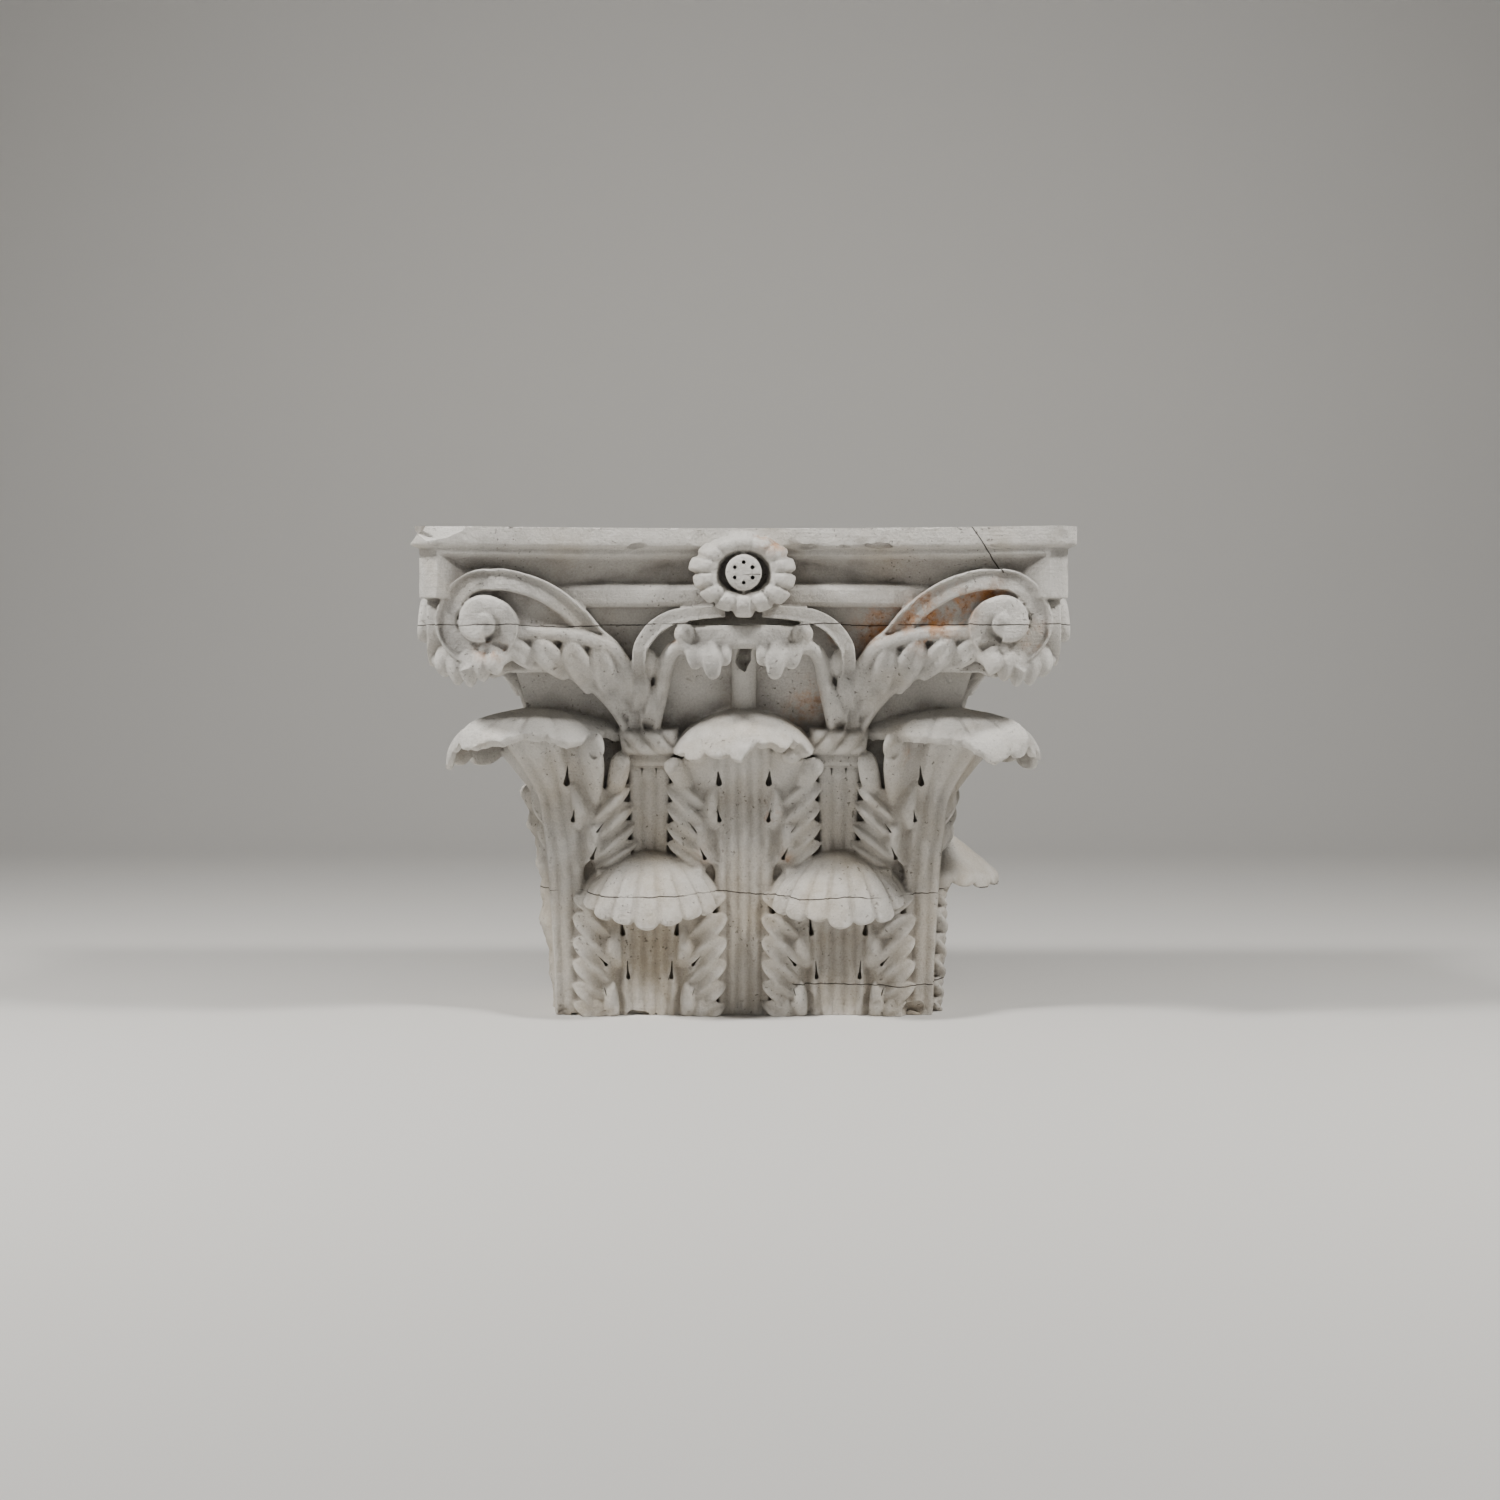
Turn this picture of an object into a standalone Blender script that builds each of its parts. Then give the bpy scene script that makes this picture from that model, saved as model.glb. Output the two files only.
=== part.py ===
"""Corinthian pilaster capital, carved from one block of limestone.

The block is half of a square capital: a front and two returns, cut off flat at the wall. Its origin is
the middle of the bottom bed, +Z is up and the front looks along -Y. Every carved form is a closed
skin, the skins are fused into one body, and the beds and the back are then sawn flat.
"""

import math

import bmesh
import bpy
from mathutils import Matrix, Vector
from mathutils.geometry import interpolate_bezier

# Driving sizes, in metres
HEIGHT = 0.600            # bed to bed
SHAFT_WIDTH = 0.452       # the pilaster below, across the front
SHAFT_DEPTH = 0.226       # the pilaster below, from the wall to its front
BELL_FLARE = 0.084        # how far the lip of the bell stands out past the shaft
LIP_HEIGHT = 0.027        # band that ends the bell
ABACUS_WIDTH = 0.792      # over the horns
ABACUS_HOLLOW = 0.062     # depth of the hollow curve between two horns
ABACUS_FASCIA = 0.024     # upright face along the top
ABACUS_COVE = 0.044       # height of the cove under the fascia
COVE_DEPTH = 0.030        # how far the cove goes in
HORN_FACE = 0.034         # width of the face that cuts off each horn
LEAF_WIDTH = 0.188        # over the leaflets of one acanthus leaf
LOWER_LEAF_HEIGHT = 0.348 * HEIGHT    # where the hood of the overturned tip starts
RETURN_LEAF_HEIGHT = 0.393 * HEIGHT   # the same on the right return, whose leaf stands taller
UPPER_LEAF_HEIGHT = 0.642 * HEIGHT
LEAF_OVERHANG = 0.088     # how far an overturned tip stands out past the bell
CORNER_OVERHANG = 0.106   # the same at a corner, along the diagonal
LOWER_HOOD_DROP = 0.150 * HEIGHT      # from where a hood starts down to its rim
UPPER_HOOD_DROP = 0.103 * HEIGHT
CORNER_HOOD_DROP = 0.070 * HEIGHT     # straight ahead; its sides hang lower
HOOD_WIDTH = 0.085        # half the spread of a hood
HOOD_PIPES = 9            # flutes on an overturned tip
LEAF_RELIEF = 0.017       # how far the leaflets stand out past the bell
VOLUTE_WIDTH = 0.112      # corner scroll, edge to edge at the height of its eye
VOLUTE_DROP = 0.1925 * HEIGHT         # its eye below the top bed
VOLUTE_BAND = 0.025       # width of the band of a corner scroll
HELIX_EYE = 0.025         # disc at the end of an inner scroll
HELIX_BAND = 0.018        # width of its band
BAR_WIDTH = 0.032         # bar between the inner scrolls
FLEURON_WIDTH = 0.130     # flower on the abacus, a little wider than tall
FLEURON_TALL = 0.104
FLEURON_PETALS = 14
BUTTON_WIDTH = 0.043      # seed button inside the flower
STALK_WIDTH = 0.052       # fluted stalk between two upper leaves
COLLAR_HEIGHT = 0.031     # twisted collar on top of the stalk

# How finely the fused body is cut
VOXEL = 0.0044
TRIANGLES = 9900
SAW_ALLOWANCE = 0.012     # stone left past the beds and the wall before sawing

HALF = SHAFT_WIDTH / 2
HORN = ABACUS_WIDTH / 2
FRONT_Y = -SHAFT_DEPTH / 2
WALL_Y = SHAFT_DEPTH / 2
AXIS_Y = FRONT_Y + HALF
LEAF_SPACING = SHAFT_WIDTH / 4 + 0.004
ABACUS_UNDERSIDE = HEIGHT - ABACUS_FASCIA - ABACUS_COVE
LIP_UNDERSIDE = ABACUS_UNDERSIDE - LIP_HEIGHT
FLEURON_CENTRE = HEIGHT - 0.525 * FLEURON_TALL
STALK_TOP = 0.545 * HEIGHT
ROOT_2 = math.sqrt(2)

for old in list(bpy.data.objects):
    bpy.data.objects.remove(old, do_unlink=True)

skins = bmesh.new()


# Paths on a face: across is 0 at its middle, 1 at a collar and 2 at a horn, out is the share of the way
# from the bell to the horn, and up is a share of HEIGHT
OUTER_LEAF = [(1.03, 0.09, 0.560), (1.10, 0.07, 0.647), (1.22, 0.09, 0.707), (1.35, 0.22, 0.738),
              (1.48, 0.43, 0.750), (1.66, 0.69, 0.743), (1.78, 0.76, 0.710)]
LEDGE = [(1.08, 0.14, 0.713), (1.14, 0.27, 0.753), (1.22, 0.36, 0.773), (1.33, 0.44, 0.786),
         (1.46, 0.52, 0.790), (1.56, 0.56, 0.789), (1.66, 0.60, 0.782)]
INNER_LEAF = [(0.94, 0.10, 0.560), (0.90, 0.14, 0.627), (0.85, 0.19, 0.683), (0.80, 0.25, 0.730),
              (0.71, 0.33, 0.758), (0.56, 0.39, 0.762), (0.38, 0.41, 0.750), (0.21, 0.37, 0.750)]
VOLUTE_TAIL = [(1.04, 0.08, 0.572), (1.08, 0.07, 0.675), (1.14, 0.12, 0.746), (1.23, 0.24, 0.784),
               (1.29, 0.32, 0.822), (1.38, 0.47, 0.857), (1.48, 0.58, 0.881), (1.58, 0.65, 0.894)]
HELIX_ARC = [(1.03, 0.10, 0.667), (1.03, 0.20, 0.717), (1.03, 0.28, 0.747), (1.01, 0.33, 0.770),
             (0.91, 0.32, 0.801), (0.73, 0.30, 0.823), (0.55, 0.29, 0.828), (0.38, 0.28, 0.822)]
# Knuckles, petals and hanging lobes with their widths
CALYX_LOBES = [
    ([(1.48, 0.46, 0.732), (1.54, 0.63, 0.750), (1.58, 0.66, 0.760)], 0.023),
    ([(1.36, 0.22, 0.717), (1.43, 0.52, 0.747), (1.47, 0.62, 0.768)], 0.029),
    ([(1.25, 0.12, 0.687), (1.30, 0.41, 0.737), (1.34, 0.54, 0.768)], 0.030),
    ([(1.16, 0.11, 0.670), (1.20, 0.33, 0.725), (1.22, 0.43, 0.762)], 0.028),
    ([(1.08, 0.10, 0.642), (1.10, 0.23, 0.697), (1.11, 0.30, 0.738)], 0.025),
    ([(1.08, 0.11, 0.603), (1.14, 0.20, 0.658), (1.19, 0.17, 0.712)], 0.020),
    ([(1.05, 0.10, 0.610), (1.03, 0.23, 0.675), (1.00, 0.20, 0.730)], 0.021),
    ([(1.01, 0.12, 0.583), (0.95, 0.24, 0.642), (0.89, 0.21, 0.693)], 0.019),
    ([(0.53, 0.25, 0.758), (0.49, 0.50, 0.750), (0.46, 0.53, 0.708)], 0.019),
    ([(0.37, 0.25, 0.758), (0.32, 0.54, 0.747), (0.31, 0.56, 0.688)], 0.022),
    ([(0.22, 0.25, 0.758), (0.20, 0.49, 0.750), (0.19, 0.50, 0.718)], 0.017),
]
# Leaflets as (height as a share of HEIGHT, size), and the hooked lobes as (width, path off the bell)
LOWER_LEAFLETS = [(0.243, 0.80), (0.200, 1.12), (0.150, 1.10), (0.103, 1.04), (0.060, 0.92), (0.018, 0.80)]
UPPER_LEAFLETS = [(0.472, 1.08), (0.433, 1.06), (0.392, 1.02), (0.353, 0.80)]
UPPER_HOOKS = [
    (0.040, [(0.046, 0.004, 0.460), (0.052, 0.020, 0.523), (0.057, 0.038, 0.550), (0.062, 0.049, 0.527)]),
    (0.026, [(0.066, 0.006, 0.463), (0.078, 0.022, 0.500), (0.087, 0.033, 0.520), (0.091, 0.040, 0.500)]),
]
# Section of a hood: (share of its reach, share of its drop)
ROUND_HOOD = [(0.0, 0.0), (0.27, -0.08), (0.53, -0.26), (0.77, -0.52), (0.93, -0.80), (1.0, -1.0)]
CORNER_HOOD = [(0.0, 0.0), (0.30, -0.07), (0.60, -0.20), (0.84, -0.40), (0.97, -0.70), (1.0, -1.0)]
RETURN_HOOD = [(0.0, 0.0), (0.30, -0.20), (0.60, -0.44), (0.88, -0.68), (1.0, -0.82), (0.99, -1.0)]
HOOD_INSIDE = [(0.91, -1.0), (0.82, -0.86), (0.64, -0.66), (0.40, -0.46), (0.0, -0.36)]
OUT = Vector((0, 1, 0))
UP = Vector((0, 0, 1))


def smooth_step(x):
    x = min(max(x, 0.0), 1.0)
    return x * x * (3 - 2 * x)


def blend(points, x):
    """The value at x of a smooth line through (x, value) points in rising order."""
    if x <= points[0][0]:
        return points[0][1]
    for (x0, y0), (x1, y1) in zip(points, points[1:]):
        if x <= x1:
            return y0 + (y1 - y0) * smooth_step((x - x0) / (x1 - x0))
    return points[-1][1]


def bell(z):
    """Half width of the bell at height z: nearly straight, then opening to the lip."""
    rise = min(max(z, 0.0) / LIP_UNDERSIDE, 1.0)
    return HALF + BELL_FLARE * (0.22 * rise + 0.78 * rise ** 3.2)


def loft(rings, turn=0.0, mirror=False):
    """Closes a row of rings into a skin. Ring points are (across, out from the axis, up)."""
    place = Matrix.Translation((0, AXIS_Y, 0)) @ Matrix.Rotation(math.radians(turn), 4, "Z")
    side = -1 if mirror else 1
    rows = [[skins.verts.new(place @ Vector((side * a, -b, c))) for a, b, c in ring] for ring in rings]
    count = len(rows[0])
    faces = []
    for low, high in zip(rows, rows[1:]):
        for i in range(count):
            j = (i + 1) % count
            faces.append(skins.faces.new((low[i], low[j], high[j], high[i])))
    faces.append(skins.faces.new(rows[0][::-1]))
    faces.append(skins.faces.new(rows[-1]))
    bmesh.ops.recalc_face_normals(skins, faces=faces)


def on_block(path):
    """A path on a face, turned from shares into metres."""
    placed = []
    for across, out, up in path:
        z = up * HEIGHT
        a = LEAF_SPACING * min(across, 1) + (HORN - LEAF_SPACING) * max(across - 1, 0)
        placed.append((a, bell(z) + out * (HORN - bell(z)), z))
    return placed


def curve(points, steps):
    """A smooth line through hand-set points, as Vectors."""
    knots = [Vector(p) for p in points]
    ends = [2 * knots[0] - knots[1]] + knots + [2 * knots[-1] - knots[-2]]
    line = [knots[0]]
    for i in range(1, len(ends) - 2):
        pull_in = (ends[i + 1] - ends[i - 1]) / 6
        pull_out = (ends[i + 2] - ends[i]) / 6
        line += interpolate_bezier(ends[i], ends[i] + pull_in, ends[i + 1] - pull_out, ends[i + 1], steps)[1:]
    return line


def sweep(line, width, depth, turn=0.0, mirror=False, square=2.0, sides=8, out=OUT):
    """A closed bar along a line: width and depth are half sizes, as functions of the share travelled."""
    rings = []
    for i, point in enumerate(line):
        share = i / (len(line) - 1)
        tangent = (line[min(i + 1, len(line) - 1)] - line[max(i - 1, 0)]).normalized()
        across = tangent.cross(out).normalized()
        normal = across.cross(tangent).normalized()
        ring = []
        for k in range(sides):
            angle = 2 * math.pi * (k + 0.5) / sides
            ca, sa = math.cos(angle), math.sin(angle)
            fit = (abs(ca) ** square + abs(sa) ** square) ** (-1 / square)
            ring.append(point + across * (width(share) * ca * fit) + normal * (depth(share) * sa * fit))
        rings.append(ring)
    loft(rings, turn, mirror)


def finger(share):
    """Half width of a leaflet along its length: full at the root, round at the tip."""
    return (0.72 + 0.28 * math.sin(math.pi * share)) * math.sqrt(max(1 - share ** 4, 0.02))


def lobe(points, width, depth, turn=0.0, mirror=False):
    """A leaflet, petal or leaf tip: a fat finger along a short curve."""
    sweep(curve(points, 3), lambda s: width / 2 * finger(s), lambda s: depth / 2 * finger(s), turn, mirror)


def knob(foot, reach, radius, turn, mirror=False, sides=12, tall=1.0):
    """A round boss with a soft rim that stands out from a face."""
    line = curve([foot, foot + OUT * reach * 0.8, foot + OUT * reach], 3)

    def size(share):
        return radius * math.sqrt(1.03 - share ** 5)

    sweep(line, lambda s: size(s) * tall, size, turn, mirror, sides=sides, out=UP)


def carve_bell():
    """Shaft end and bell, square in plan, with the lip band on top."""
    steps = 14
    heights = [-SAW_ALLOWANCE] + [LIP_UNDERSIDE * i / steps for i in range(steps + 1)]
    rows = [(z, bell(z)) for z in heights]
    lip = bell(LIP_UNDERSIDE)
    rows += [(LIP_UNDERSIDE + 0.001, lip + 0.006), (LIP_UNDERSIDE + LIP_HEIGHT * 0.85, lip + 0.010)]
    rows += [(ABACUS_UNDERSIDE, lip), (HEIGHT - ABACUS_FASCIA, lip)]
    loft([[(-h, -h, z), (h, -h, z), (h, h, z), (-h, h, z)] for z, h in rows])


def abacus_outline(inset, z):
    """Plan of the abacus: four hollow sides and four cut-off horns, set in all round by inset."""
    reach = HORN - inset
    end = reach - HORN_FACE / ROOT_2
    points = []
    for side in range(4):
        turn = Matrix.Rotation(side * math.pi / 2, 3, "Z")
        for i in range(9):
            u = end * (i / 4 - 1)
            points.append(turn @ Vector((u, -reach + ABACUS_HOLLOW * (1 - (u / end) ** 2), z)))
    return [(p.x, p.y, p.z) for p in points]


def carve_abacus():
    """Fascia, fillet and cove, with the cut ends of the horns running down to the scrolls."""
    fascia_foot = HEIGHT - ABACUS_FASCIA
    rows = [(0.0, HEIGHT + SAW_ALLOWANCE), (0.0, fascia_foot), (0.009, fascia_foot - 0.001)]
    rows += [(0.009, fascia_foot - 0.008)]
    for i in range(5):
        share = i / 4
        rows.append((0.013 + COVE_DEPTH * share ** 0.6, fascia_foot - 0.010 - (ABACUS_COVE - 0.010) * share))
    loft([abacus_outline(inset, z) for inset, z in rows])
    half = HORN_FACE / 2
    tip = ROOT_2 * (HORN - 0.010) - half
    for turn in (-45, 45):
        section = [(-half, tip), (half, tip), (half, tip - 2 * HORN_FACE), (-half, tip - 2 * HORN_FACE)]
        loft([[(a, b, z) for a, b in section] for z in (LIP_UNDERSIDE + LIP_HEIGHT / 2, fascia_foot)], turn)


def surface_point(s, lift, z, corner):
    """A point at distance s from a leaf's midrib along the bell, lifted off it."""
    if not corner:
        return (s, bell(z) + lift, z)
    lean = math.radians(45) * min(max(s / 0.03, -1), 1)
    a = s / ROOT_2 + lift * math.sin(lean)
    return (a, ROOT_2 * bell(z) - abs(s) / ROOT_2 + lift * math.cos(lean), z)


def blade(height, turn, shift, corner, half_width, lift=0.36):
    """The body of a leaf: it hugs the bell, then swells forward by lift under the overturned tip."""
    rings = []
    top = height - 0.026
    for i in range(13):
        z = (top + SAW_ALLOWANCE) * i / 12 - SAW_ALLOWANCE
        share = z / height
        wide = half_width(share)
        swell = lift * LEAF_OVERHANG * smooth_step((z - top + 0.10) / 0.10)
        front, back = [], []
        for k in range(13):
            s = wide * (k / 6 - 1)
            pipes = 0.004 * abs(math.sin(math.pi * s / 0.021)) * (1 if abs(s) < 0.042 else 0)
            rise = 0.007 + pipes + swell * math.exp(-((s / 0.052) ** 2))
            front.append(surface_point(s, rise, z, corner))
            back.append(surface_point(s, -0.020, z, corner))
        rings.append([(a + shift, b, c) for a, b, c in front + back[::-1]])
    loft(rings, turn)


def overturned_tip(crest, drop, turn, shift, section=ROUND_HOOD, ends=0.02, broken=None):
    """The fluted hood that an acanthus tip makes where it falls forward and down.

    ends is how much less it falls at its ends than in the middle.
    """
    corner = section is CORNER_HOOD
    reach = CORNER_OVERHANG if corner else LEAF_OVERHANG
    set_back = 0.030 if corner else 0.004
    spread = 120 if corner else 94
    wide = HOOD_WIDTH * 0.87 if corner else HOOD_WIDTH
    start = (ROOT_2 * bell(crest) if corner else bell(crest)) - set_back
    steps = 5 * HOOD_PIPES
    rings = []
    for i in range(steps + 1):
        share = 2 * i / steps - 1
        angle = math.radians(spread) * share
        flute = abs(math.sin(math.pi * HOOD_PIPES * i / steps)) ** 0.6
        kept = broken(share) if broken else 1.0
        sag = 0.90 * math.sqrt(math.sin(math.pi * abs(share))) if corner else 0.0
        fall = drop * (0.88 + 0.12 * flute) * (1 + sag - ends * share ** 2)
        ring = []
        for out, down in section:
            bulge = 1 - 0.06 * (1 - flute) * out
            ring.append((min(out, kept) * bulge, fall * (down if out <= kept else -0.30 - 0.4 * kept)))
        for out, down in HOOD_INSIDE:
            ring.append((min(out, kept - 0.10), fall * down * (1 if kept == 1 else 0.9)))
        out_size = reach + set_back
        rings.append([(shift + wide * out * math.sin(angle), start + out_size * out * math.cos(angle),
                       crest + down) for out, down in ring])
    loft(rings, turn)


def leaflets(tips, turn, shift, corner):
    """Pairs of round-tipped leaflets up both edges of a leaf: heights as shares of HEIGHT, and sizes."""
    for side in (-1, 1):
        for share, size in tips:
            z = share * HEIGHT
            path = [(0.040, 0.002, z - 0.036 * size), (0.062, LEAF_RELIEF * 0.9, z - 0.020 * size),
                    (LEAF_WIDTH / 2, LEAF_RELIEF * 0.5, z)]
            points = [surface_point(side * s, lift, c, corner) for s, lift, c in path]
            lobe([(a + shift, b, c) for a, b, c in points], 0.022 * size, 0.024 * size, turn)


def hooked_lobes(turn, corner):
    """The lobes beside the hood of an upper leaf, hooked forward."""
    for side in (-1, 1):
        for wide, path in UPPER_HOOKS:
            points = [surface_point(side * s, lift, c * HEIGHT, corner) for s, lift, c in path]
            lobe(points, wide, 0.021, turn)


def upper_leaf_width(share):
    return blend([(0.0, 0.032), (0.47, 0.036), (0.56, 0.068), (1.0, 0.072)], share)


def lower_leaf_width(share):
    return blend([(0.0, 0.066), (0.5, 0.072), (1.0, 0.066)], share)


def carve_lower_leaf(turn, shift):
    """The lower leaf is whole on the front, taller on the right return and lost from the left return."""
    lost = turn == -90
    blade(LOWER_LEAF_HEIGHT, turn, shift, False, lower_leaf_width, 0.02 if lost else 0.36)
    leaflets(LOWER_LEAFLETS, turn, shift, False)
    if turn == 90:
        overturned_tip(RETURN_LEAF_HEIGHT, LOWER_HOOD_DROP, turn, shift, RETURN_HOOD, 0.1)
    elif not lost:
        overturned_tip(LOWER_LEAF_HEIGHT, LOWER_HOOD_DROP, turn, shift, ROUND_HOOD, 0.39)


def carve_upper_leaf(turn, corner, broken=None):
    blade(UPPER_LEAF_HEIGHT, turn, 0.0, corner, upper_leaf_width)
    leaflets(UPPER_LEAFLETS, turn, 0.0, corner)
    hooked_lobes(turn, corner)
    if corner:
        overturned_tip(UPPER_LEAF_HEIGHT, CORNER_HOOD_DROP, turn, 0.0, CORNER_HOOD, 0.0, broken)
    else:
        overturned_tip(UPPER_LEAF_HEIGHT, UPPER_HOOD_DROP, turn, 0.0, broken=broken)


def scroll_radius(turned):
    """How far the middle of the corner scroll's band is from its eye, as a share of the scroll's width."""
    return blend([(0, 0.475), (80, 0.40), (170, 0.345), (260, 0.27), (360, 0.205), (460, 0.15), (560, 0.10)],
                 turned)


def carve_volute(turn, mirror):
    """Corner scroll: a band that leaves the calyx, runs under the horn and winds up at its eye."""
    eye = Vector((HORN - 0.087, HORN - 0.021, HEIGHT - VOLUTE_DROP))
    spiral = []
    for turned in range(0, 561, 20):
        angle = math.radians(100 - turned)
        r = VOLUTE_WIDTH * scroll_radius(turned)
        out = blend([(0, -0.016), (200, -0.014), (290, -0.001), (560, 0.002)], turned)
        spiral.append(eye + Vector((r * math.cos(angle), out, r * math.sin(angle))))
    tail = curve(on_block(VOLUTE_TAIL) + [tuple(spiral[0])], 3)[:-1]

    def band(share):
        return VOLUTE_BAND / 2 * blend([(0.0, 0.7), (0.25, 1.0), (0.6, 1.0), (1.0, 0.5)], share)

    sweep(tail + spiral, band, lambda s: 0.018, turn, mirror, square=5)
    knob(eye - OUT * 0.030, 0.046, 0.018, turn, mirror)
    disc = []
    for i in range(18):
        r = VOLUTE_WIDTH * scroll_radius(20 * i)
        angle = math.radians(100 - 20 * i)
        disc.append((eye.x + r * math.cos(angle), eye.z + r * math.sin(angle)))
    loft([[(a, eye.y - back, c) for a, c in disc] for back in (0.090, 0.012)], turn, mirror)
    under = curve(on_block(OUTER_LEAF), 3)
    top = tail + spiral[:2]
    web = []
    for i, low in enumerate(under):
        high = top[round(i * (len(top) - 1) / (len(under) - 1))]
        web.append([(high.x, high.y - 0.015, high.z), (high.x * 0.96, high.y - 0.09, high.z),
                    (low.x * 0.96, low.y - 0.09, low.z), (low.x, low.y - 0.004, low.z)])
    loft(web, turn, mirror)


def carve_calyx(turn, mirror):
    """Stalk, twisted collar, the leaf under the corner scroll and the leaf under the inner one."""
    centre = LEAF_SPACING
    stalk = [(centre, bell(LOWER_LEAF_HEIGHT), LOWER_LEAF_HEIGHT * 0.9), (centre, bell(STALK_TOP), STALK_TOP)]
    half = STALK_WIDTH / 2
    sweep(curve(stalk, 4), lambda s: half * (0.86 + 0.14 * s), lambda s: 0.012, turn, mirror, square=4)
    foot = bell(STALK_TOP)
    strand = STALK_WIDTH * 0.46
    for i in range(4):
        u = centre + strand * (i - 1.5)
        path = [(0.018, 0.006, -0.2), (0.004, 0.022, 0.2), (-0.012, 0.021, 0.65), (-0.022, 0.010, 1.0)]
        points = [(u + a, foot + b, STALK_TOP + COLLAR_HEIGHT * c) for a, b, c in path]
        lobe(points, strand, 0.028, turn, mirror)
    for path, wide in ((OUTER_LEAF, 0.009), (INNER_LEAF, 0.010), (LEDGE, 0.009)):
        sweep(curve(on_block(path), 3), lambda s: wide, lambda s: 0.016, turn, mirror)
    for path, wide in CALYX_LOBES:
        lobe(on_block(path), wide, wide, turn, mirror)


def carve_corner_fringe(turn):
    """Leaf tips that hang below a pair of corner scrolls, lost on the side of the return."""
    front = 1 if turn < 0 else -1
    tips = ((-0.004, 0.710, 0.024), (0.017, 0.684, 0.027), (0.038, 0.694, 0.025), (0.058, 0.708, 0.022))
    for a, tip, wide in tips:
        b = ROOT_2 * (HORN - 0.036) - 0.5 * a
        path = [(0.6, 0.060, 0.753), (1.0, 0.010, 0.737), (1.1, 0.006, tip)]
        lobe([(front * a * u, b - back, up * HEIGHT) for u, back, up in path], wide, 0.028, turn)


def carve_helix(turn, mirror):
    """Inner scroll: an arc that rises from the calyx and ends on the bar, over a round eye."""
    arc = curve(on_block(HELIX_ARC), 3)
    sweep(arc, lambda s: HELIX_BAND / 2, lambda s: 0.013, turn, mirror, square=5)
    eye = Vector((0.605 * LEAF_SPACING, bell(LIP_UNDERSIDE) - 0.006, 0.788 * HEIGHT))
    knob(eye, 0.043, HELIX_EYE / 2, turn, mirror)


def carve_middle(turn):
    """Bar between the inner scrolls, the stem under it and the flower on the abacus."""
    front = bell(LIP_UNDERSIDE) + 0.013
    reach = 0.55 * LEAF_SPACING
    path = [(-1.0, 0.784), (-0.47, 0.784), (0.0, 0.793), (0.47, 0.784), (1.0, 0.784)]
    bar = [(share * reach, front, up * HEIGHT) for share, up in path]

    def half_bar(share):
        return BAR_WIDTH / 2 * blend([(0.35, 1.0), (0.5, 0.6), (0.65, 1.0)], share)

    sweep(curve(bar, 4), half_bar, lambda s: 0.015, turn, square=4)
    stem = [(0.0, bell(0.6 * HEIGHT), 0.57 * HEIGHT), (0.0, bell(0.71 * HEIGHT) + 0.004, 0.717 * HEIGHT)]
    sweep(curve(stem, 4), lambda s: 0.0155, lambda s: 0.014, turn)
    face = HORN - ABACUS_HOLLOW
    wide, tall = FLEURON_WIDTH / 2, FLEURON_TALL / 2
    for i in range(FLEURON_PETALS):
        angle = 2 * math.pi * (i + 0.5) / FLEURON_PETALS
        a, c = wide * math.cos(angle), tall * math.sin(angle)
        path = [(0.42, 0.016), (0.58, 0.038), (0.80, 0.040), (1.0, 0.024)]
        lobe([(r * a, face + out, FLEURON_CENTRE + r * c) for r, out in path],
             2.2 * math.pi * math.hypot(a, c) / FLEURON_PETALS, 0.026, turn)
    core = Vector((0.0, face - 0.040, FLEURON_CENTRE))
    knob(core, 0.062, wide * 0.74, turn, sides=16, tall=tall / wide)
    knob(Vector((0.0, face, FLEURON_CENTRE)), 0.046, BUTTON_WIDTH / 2, turn)


def centre_break(share):
    return 0.80 if 0.12 < share < 0.65 else 1.0


def left_break(share):
    return 0.68 if 0.05 < share < 0.85 else 1.0


def right_break(share):
    return 0.84 if -0.90 < share < -0.20 else 1.0


def carve_all():
    carve_bell()
    carve_abacus()
    for turn in (-90, 0, 90):
        carve_upper_leaf(turn, False, broken=centre_break if turn == 0 else None)
        carve_middle(turn)
        for mirror in (False, True):
            if (turn == 90 and not mirror) or (turn == -90 and mirror):
                continue
            carve_lower_leaf(turn, -LEAF_SPACING if mirror else LEAF_SPACING)
            carve_calyx(turn, mirror)
            carve_helix(turn, mirror)
            carve_volute(turn, mirror)
    for turn in (-45, 45):
        carve_upper_leaf(turn, True, broken=left_break if turn == -45 else right_break)
        carve_corner_fringe(turn)


def limestone():
    material = bpy.data.materials.new("limestone")
    material.use_nodes = True
    shader = material.node_tree.nodes["Principled BSDF"]
    shader.inputs["Base Color"].default_value = (0.50, 0.47, 0.42, 1.0)
    shader.inputs["Roughness"].default_value = 0.9
    shader.inputs["Metallic"].default_value = 0.0
    return material


def sawing_box():
    """What is left when the beds and the wall side are sawn flat."""
    wide = ABACUS_WIDTH + 0.2
    deep = ABACUS_WIDTH
    bpy.ops.mesh.primitive_cube_add(size=1, location=(0, WALL_Y - deep / 2, HEIGHT / 2))
    box = bpy.context.active_object
    box.name = "sawing_box"
    box.scale = (wide, deep, HEIGHT)
    bpy.ops.object.transform_apply(location=False, rotation=False, scale=True)
    box.hide_render = True
    box.display_type = "WIRE"
    return box


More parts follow.
